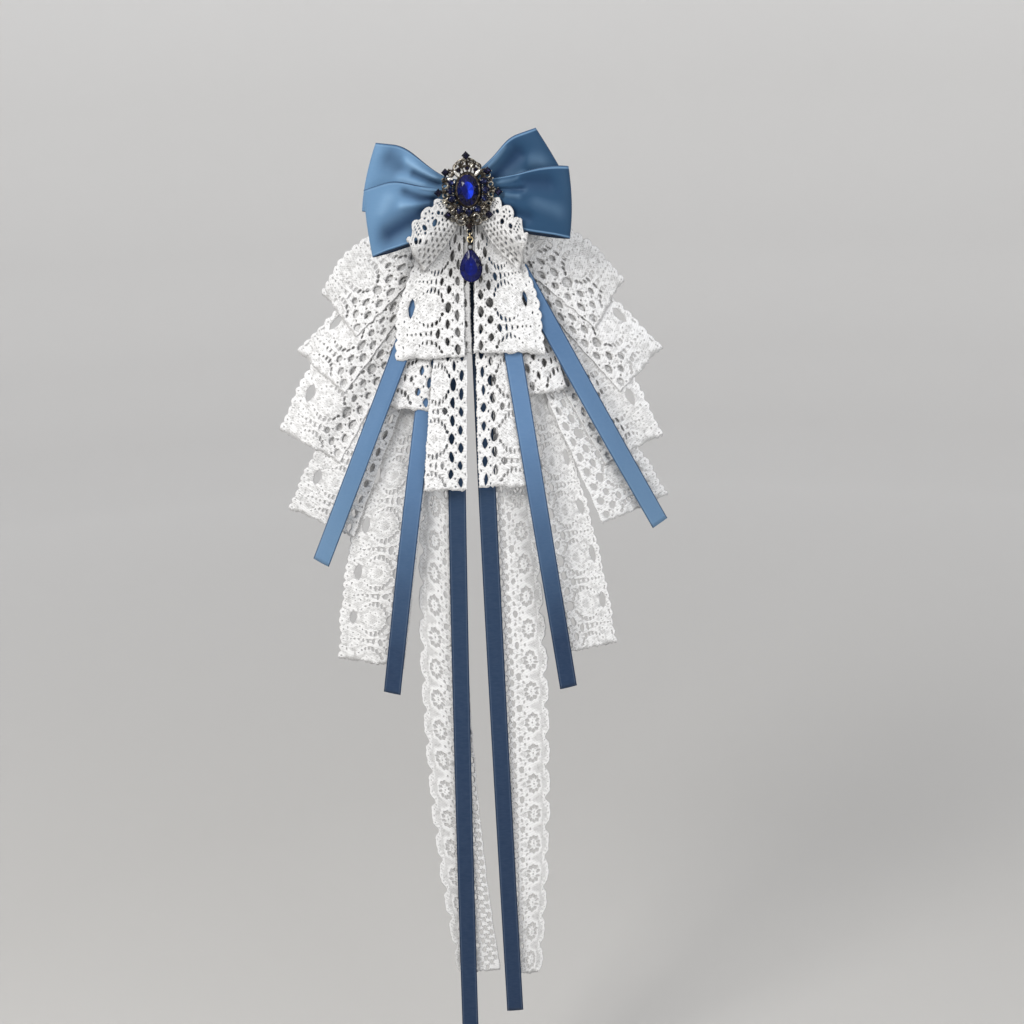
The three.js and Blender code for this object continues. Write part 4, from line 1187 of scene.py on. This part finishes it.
# Stones: cut glass. A flat table, star and kite facets round it and a girdle. The centre and the pear are
# royal blue over a dark rim, the small ones dark navy, the lowest red-brown, and the one on the drop clear.
# How bright a facet looks inside, painted light, is kept on the facet itself.
TABLE, STAR, KITE, BACK = range(4)


def stone_finish(name, deep, middle, bright, painted_glow):
    """Opaque glass with painted light: each facet's painted brightness and a little haze choose among three
    tones, and the brightest get a painted glow.
    """
    finish = Finish(name, Roughness=0.1, Coat_Weight=0.1, Coat_Roughness=0.02, Specular_IOR_Level=0.2)
    painted_facet_light = finish.stored("painted_facet_light")
    haze = painted_facet_light + 0.45 * (finish.noise(240, 2) - 0.5)
    colour = finish.mix(haze.step(0.2, 0.6), deep, middle)
    colour = finish.mix(haze.step(0.6, 0.95), colour, bright)
    finish.feed("Base Color", colour)
    # Painted glow: the brightest facets give off a little light of their own
    finish.feed("Emission Color", finish.mix(haze.step(0.55, 1.0), (0, 0, 0), painted_glow))
    finish.shader.inputs["Emission Strength"].default_value = 0.5
    return finish.material


def small_light(x, z, place):
    """A brighter table on a dark rim."""
    return 0.42 if place == TABLE else 0.24


def centre_light(x, z, place):
    """The window in the middle: brighter to the right of a dark keel, and dim at the rim."""
    if place == TABLE:
        return 0.8 if 0.6 < x < 4 and abs(z) < 4.5 else 0.56 if x < -0.6 else 0.42
    return 0.42 if place == STAR and z > -3 else 0.2


def add_gem(made, painted_facet_light, chance, outline, y, crown, pavilion, sides, light=small_light, glitter=0.16):
    """A faceted stone. outline(angle) is its girdle, and light(x, z, place) each facet's painted brightness.
    """
    spots = [outline(TURN * k / 24) for k in range(24)]
    middle = (sum(p[0] for p in spots) / 24, sum(p[1] for p in spots) / 24)

    def ring(share, high, count, shift):
        spots = [outline(TURN * (k + shift) / count) for k in range(count)]
        return [
            made.verts.new((lerp(middle[0], x, share), y - high, lerp(middle[1], z, share))) for x, z in spots
        ]

    table_ring = ring(0.56, crown, sides, 0)
    stars = ring(0.80, crown * 0.62, sides, 0.5)
    girdle = ring(1.0, 0.0, sides * 2, 0)
    heart = made.verts.new((middle[0], y - crown, middle[1]))
    low = made.verts.new((middle[0], y + pavilion, middle[1]))
    facets = []
    for k in range(sides):
        corner, star, following = table_ring[k], stars[k], table_ring[(k + 1) % sides]
        first, second, third = (girdle[(2 * k + n) % (2 * sides)] for n in range(3))
        facets.append(((heart, corner, following), TABLE))
        facets.append(((corner, star, following), STAR))
        facets.append(((following, star, second, third), KITE))
        facets.append(((corner, first, second, star), KITE))
    for k in range(2 * sides):
        facets.append(((girdle[k], low, girdle[(k + 1) % (2 * sides)]), BACK))
    for corners, place in facets:
        face = made.faces.new(corners)
        centre = face.calc_center_median()
        bright = light(centre.x - middle[0], centre.z - middle[1], place)
        face[painted_facet_light] = bright + chance.uniform(-glitter, glitter)


def oval_outline(x, z, half_x, half_z, turn=0.0, square=0.0):
    """An oval girdle round a place, turned, and drawn in to a square with its corners on the axes at 1."""
    def outline(angle):
        a = half_x * math.cos(angle)
        b = half_z * math.sin(angle)
        if square:
            shrink = (abs(math.cos(angle)) + abs(math.sin(angle))) ** -square
            a, b = a * shrink, b * shrink
        return x + a * math.cos(turn) - b * math.sin(turn), z + a * math.sin(turn) + b * math.cos(turn)
    return outline


def stones_piece(name, gems, glass, nodes, body):
    """One object of the stones, each given as outline, y, crown, pavilion, sides, and light and glitter."""
    made = bmesh.new()
    painted_facet_light = made.faces.layers.float.new("painted_facet_light")
    for number, gem in enumerate(gems):
        add_gem(made, painted_facet_light, random.Random(number + len(name)), *gem)
    finish_piece([made], name, [GLASS[glass]], nodes, body)


def numbered(name, count):
    return [f"{name}_{i + 1}" for i in range(count)]


# Tones of the dark, the middle and the bright facets, by painted facet light, and the painted glow of the
# brightest
GLASS = {
    name: stone_finish(name + "_glass", *tones)
    for name, *tones in (
        ("blue", (0.0015, 0.002, 0.018), (0.004, 0.008, 0.11), (0.01, 0.04, 0.55), (0.002, 0.03, 0.62)),
        ("dark", (0.002, 0.003, 0.012), (0.006, 0.009, 0.046), (0.10, 0.13, 0.34), (0.0, 0.01, 0.07)),
        ("garnet", (0.006, 0.003, 0.003), (0.018, 0.009, 0.009), (0.07, 0.03, 0.03), (0.008, 0.0, 0.0)),
        ("point", (0.0015, 0.0015, 0.006), (0.005, 0.005, 0.022), (0.10, 0.085, 0.22), (0.0, 0.0, 0.02)),
        ("clear", (0.16, 0.17, 0.18), (0.42, 0.43, 0.45), (0.85, 0.86, 0.88), (0.12, 0.12, 0.12)),
    )
}
SQUARE_CUT = (-39.1, 1.1, 0.6, 4)
centre_stone = (oval_outline(0, 0, 6.7, 9.8), -40.35, 2.9, 1.6, 12, centre_light)
stones_piece("centre_stone_glass", [centre_stone], "blue", ["centre_stone"], BODY)
ring_stones = []
for degrees in RING_ANGLES:
    x, _, z = oval(*RING_OVAL, math.radians(degrees))
    girdle = oval_outline(x, z, 2.2, 2.6, math.atan2(z, x) - math.pi / 2)
    ring_stones.append((girdle, -39.3, 1.0, 0.9, 8, small_light, 0.34))
stones_piece("ring_stones_glass", ring_stones, "dark", numbered("ring_stone", 9), BODY)
point_stones = [
    (oval_outline(*spot, 2.75, 2.75, 0, 1.0), *SQUARE_CUT, small_light, 0.3) for spot in POINT_STONES
]
stones_piece("point_stones_glass", point_stones, "point", numbered("point_stone", 7), BODY)
crown_stones = [(oval_outline(*spot, 1.1, 1.1), -39.1, 0.7, 0.5, 8) for spot in CROWN_STONES]
stones_piece("crown_stones_glass", crown_stones, "point", numbered("crown_stone", 3), BODY)
bottom_stone = (oval_outline(*BOTTOM_STONE, 2.6, 2.6, 0, 1.0), *SQUARE_CUT)
stones_piece("bottom_stone_glass", [bottom_stone], "garnet", ["bottom_stone"], BODY)

# Drop: two bent rings of pale gold wire hang in the brooch's eyelet, under them a small clear stone and a
# pear stone in a thin bronze setting with a beaded rim, whose bail is a third ring.
LINK_PITCH = 2 * LINK["radius"] - 2 * LINK["wire"] - LINK["play"]
UPPER_Z = LINK["eyelet_z"] - LINK_PITCH
LOWER_Z = UPPER_Z - LINK_PITCH
BAIL_Z = LOWER_Z - LINK_PITCH
CRYSTAL_Z = BAIL_Z - 2.25
CRYSTAL_HALF = 1.35
PEAR = {"width": 13.6, "height": 20.2, "z": CRYSTAL_Z - 1.9 - 10.1, "narrowed": 0.42, "lowered": 1.8}
LINK_POINTS = 28
GOLD = metal_finish("pale_gold", (0.42, 0.31, 0.15), (0.93, 0.80, 0.52), 300, 0.3, 0.6)


def standing_ring(z):
    """The path of a ring that stands edge on to the front."""
    turns = [TURN * k / LINK_POINTS for k in range(LINK_POINTS)]
    return [(0, DROP_Y + LINK["radius"] * math.cos(t), z + LINK["radius"] * math.sin(t)) for t in turns]


def pear_outline(grow=0.0):
    def outline(angle):
        x = (PEAR["width"] / 2 + grow) * math.cos(angle)
        z = (PEAR["height"] / 2 + grow) * math.sin(angle)
        x *= 1 - PEAR["narrowed"] * max(0.0, math.sin(angle)) ** 1.4
        return x, PEAR["z"] + z - PEAR["lowered"] * (1 - abs(math.sin(angle)))
    return outline


lying_ring = arc(LINK["radius"], LINK["radius"], DROP_Y, LINK_POINTS, (0, LOWER_Z))
for name, path, axis in (
    ("drop_link_upper", standing_ring(UPPER_Z), (1, 0, 0)),
    ("drop_link_lower", lying_ring, (0, 1, 0)),
):
    made = bmesh.new()
    add_wire(made, path, LINK["wire"], True, 8, axis)
    finish_piece([made], name + "_wire", [GOLD], [name], "drop")

# The setting's section, from the edge of its back to the inside of its rim: how far outside the pear's
# outline it is, and its depth
SETTING_BACK = DROP_Y + 1.7
SETTING = [
    (0.6, SETTING_BACK), (0.6, SETTING_BACK - 1.6), (0.2, SETTING_BACK - 1.9), (0.2, SETTING_BACK - 0.5),
]
SETTING_SIDES = 60
RIM_BEADS = 44
setting = bmesh.new()
add_wire(setting, standing_ring(BAIL_Z), LINK["wire"], True, 8, (1, 0, 0))
rings = []
for grow, y in SETTING:
    spots = [pear_outline(grow)(TURN * k / SETTING_SIDES) for k in range(SETTING_SIDES)]
    rings.append([setting.verts.new((x, y, z)) for x, z in spots])
for low, high in zip(rings, rings[1:]):
    bridge(setting, low, high)
setting.faces.new(rings[0])
setting.faces.new(list(reversed(rings[-1])))
for k in range(RIM_BEADS):
    x, z = pear_outline(0.5)(TURN * k / RIM_BEADS)
    add_bead(setting, x, SETTING_BACK - 2.6, z, 0.28)
add_wire(setting, arc(CRYSTAL_HALF, CRYSTAL_HALF, DROP_Y - 1.4, 20, (0, CRYSTAL_Z)), 0.32, True)
stem = [(0, DROP_Y + 0.2, CRYSTAL_Z + 1.9), (0, DROP_Y - 0.6, CRYSTAL_Z), (0, DROP_Y + 0.2, CRYSTAL_Z - 2.4)]
add_wire(setting, stem, 1.0, sides=8)
finish_piece([setting], "drop_setting_metal", [BRONZE], ["drop_setting"], "drop")


def pear_light(x, z, place):
    """An even table, a lighter foot and a dim right side."""
    if place == TABLE:
        return 0.6 - 0.02 * abs(x)
    low = 0.49 if z < -2 else 0.38
    return low - 0.1 if x > 3 else low


pear = (pear_outline(0.7), DROP_Y - 0.3, 2.2, 0.85, 14, pear_light, 0.04)
stones_piece("drop_stone_glass", [pear], "blue", ["drop_stone"], "drop")
crystal = (oval_outline(0, CRYSTAL_Z, CRYSTAL_HALF, CRYSTAL_HALF), DROP_Y - 2.1, 0.6, 0.5, 8)
stones_piece("drop_crystal_glass", [crystal], "clear", ["drop_crystal"], "drop")

# Back pin: a plain steel bar pin behind the knot, one piece with its post. It is as made in the CAD, and
# only gets its finish, brushed along the bar.
STEEL = Finish("pin_steel", Metallic=1.0)
STEEL.feed("Base Color", STEEL.mix(STEEL.noise(120, 3), (0.42, 0.42, 0.43), (0.66, 0.66, 0.67)))
STEEL.feed("Roughness", 0.3 + 0.2 * STEEL.noise(500, 2, stretch=(0.1, 1, 1)))
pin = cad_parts["back_pin"]
pin.data.materials.clear()
pin.data.materials.append(STEEL.material)

# Shade in the stack: wherever lace lies under other lace or a ribbon, little light reaches it, so each point
# of its face keeps the share of rays towards the light that the layers close in front of it stop. The
# tiers lie loosely on each other, so they let more light through to the next than the panels do.
RAYS = [Vector(ray) for ray in ((0, -1, 0), (-0.6, -1, 0.5), (0.6, -1, 0.5), (0, -1, 1.1), (-0.2, -1, -0.6))]
SHADE_GAP = 0.0009
SHADE_REACH = 0.009
TIER_SHADE = 0.4
TURNED_SHADE = 0.5


def shade_lace(sheet):
    """Keeps on each point of the sheet how covered it is, from 0 to 1."""
    spots, quads, dims = [], [], []
    for name, (points, faces) in COVERS.items():
        if name != sheet.name:
            quads += [tuple(i + len(spots) for i in face) for face in faces]
            spots += points
            dims += [TIER_SHADE if name.startswith("tier") else 1.0] * len(faces)
    tree = bvhtree.BVHTree.FromPolygons(spots, quads)
    covered = sheet.data.attributes.new("covered", "FLOAT", "POINT")
    # The turned edge gets at least this much painted shade
    least = TURNED_SHADE if "turned" in sheet.name else 0.0
    for vert in sheet.data.vertices:
        hits = [tree.ray_cast(vert.co + ray * SHADE_GAP, ray, SHADE_REACH)[2] for ray in RAYS]
        front, *slanting = [0.0 if index is None else dims[index] for index in hits]
        share = sum(slanting) / len(slanting)
        covered.data[vert.index].value = max(least, 0.6 * front + lerp(0.22, 0.4, front) * share)


for sheet in LACES:
    shade_lace(sheet)

# The studio: a pale floor that curves up behind, soft light from the upper left, and the camera in
# front, a little above and looking slightly down.
FLOOR_PROFILE = [
    (0.1, -0.70), (0.8, -0.70), (1.6, -0.70), (2.1, -0.70), (2.5, -0.67), (2.85, -0.55), (3.1, -0.3),
    (3.2, 0.1), (3.2, 1.9),
]
FLOOR_SIDES = 96
floor_verts = [
    (r * math.cos(TURN * k / FLOOR_SIDES), r * math.sin(TURN * k / FLOOR_SIDES), z)
    for r, z in FLOOR_PROFILE for k in range(FLOOR_SIDES)
]
floor_faces = [tuple(range(FLOOR_SIDES))]
for ring in range(len(FLOOR_PROFILE) - 1):
    for k in range(FLOOR_SIDES):
        a, b = ring * FLOOR_SIDES + k, ring * FLOOR_SIDES + (k + 1) % FLOOR_SIDES
        floor_faces.append((a, a + FLOOR_SIDES, b + FLOOR_SIDES, b))
floor_mesh = bpy.data.meshes.new("floor")
floor_mesh.from_pydata(floor_verts, [], floor_faces)
floor_mesh.polygons.foreach_set("use_smooth", [True] * len(floor_mesh.polygons))
floor = placed("floor", floor_mesh)
PAPER = Finish("pale_paper", Roughness=0.9)
height = PAPER.node("SeparateXYZ", inputs={0: PAPER.place()}, output=2).step(-0.7, 0.5)
# Painted shade: the floor darker than the wall, and darkest near the object
away = PAPER.node("VectorMath", {"operation": "LENGTH"}, {0: PAPER.place()}, output=1).step(0.9, 2.1)
shaded_ground = PAPER.mix(away, (0.47, 0.458, 0.437), (0.63, 0.618, 0.598))
wall = PAPER.mix(PAPER.noise(2, 3), (0.82, 0.81, 0.79), (0.85, 0.84, 0.82))
PAPER.feed("Base Color", PAPER.mix(height, shaded_ground, wall))
floor.data.materials.append(PAPER.material)

world = bpy.data.worlds.new("soft_sky")
bpy.context.scene.world = world
world.use_nodes = True
sky = world.node_tree.nodes["Background"]
sky.inputs["Color"].default_value = (0.93, 0.95, 1.0, 1)
sky.inputs["Strength"].default_value = 0.92


def soft_light(name, spot, target, size, power, colour):
    lamp = bpy.data.lights.new(name, "AREA")
    lamp.size = size
    lamp.energy = power
    lamp.color = colour
    holder = placed(name, lamp)
    holder.location = spot
    holder.rotation_euler = (Vector(target) - Vector(spot)).to_track_quat("-Z", "Y").to_euler()


soft_light("key", (-1.0, -1.1, 0.8), (0, 0, -0.3), 0.7, 24, (1.0, 0.985, 0.96))
soft_light("fill", (0.9, -1.0, 0.1), (0, 0, -0.25), 0.9, 7, (0.95, 0.97, 1.0))

CAMERA_SPOT = (0.0210, -1.0188, 0.0486)
PITCH = math.radians(15)
ROLL = math.radians(2)
lens = bpy.data.cameras.new("camera")
lens.sensor_width = 36
lens.lens = lens.sensor_width * 1500 / 1024
camera = placed("camera", lens)
level_right = Vector((1, 0, 0))
level_up = Vector((0, math.sin(PITCH), math.cos(PITCH)))
right = math.cos(ROLL) * level_right - math.sin(ROLL) * level_up
up = math.cos(ROLL) * level_up + math.sin(ROLL) * level_right
facing = Matrix((right, up, right.cross(up))).transposed().to_4x4()
camera.matrix_world = Matrix.Translation(CAMERA_SPOT) @ facing
bpy.context.scene.camera = camera
bpy.context.scene.view_settings.view_transform = "Standard"
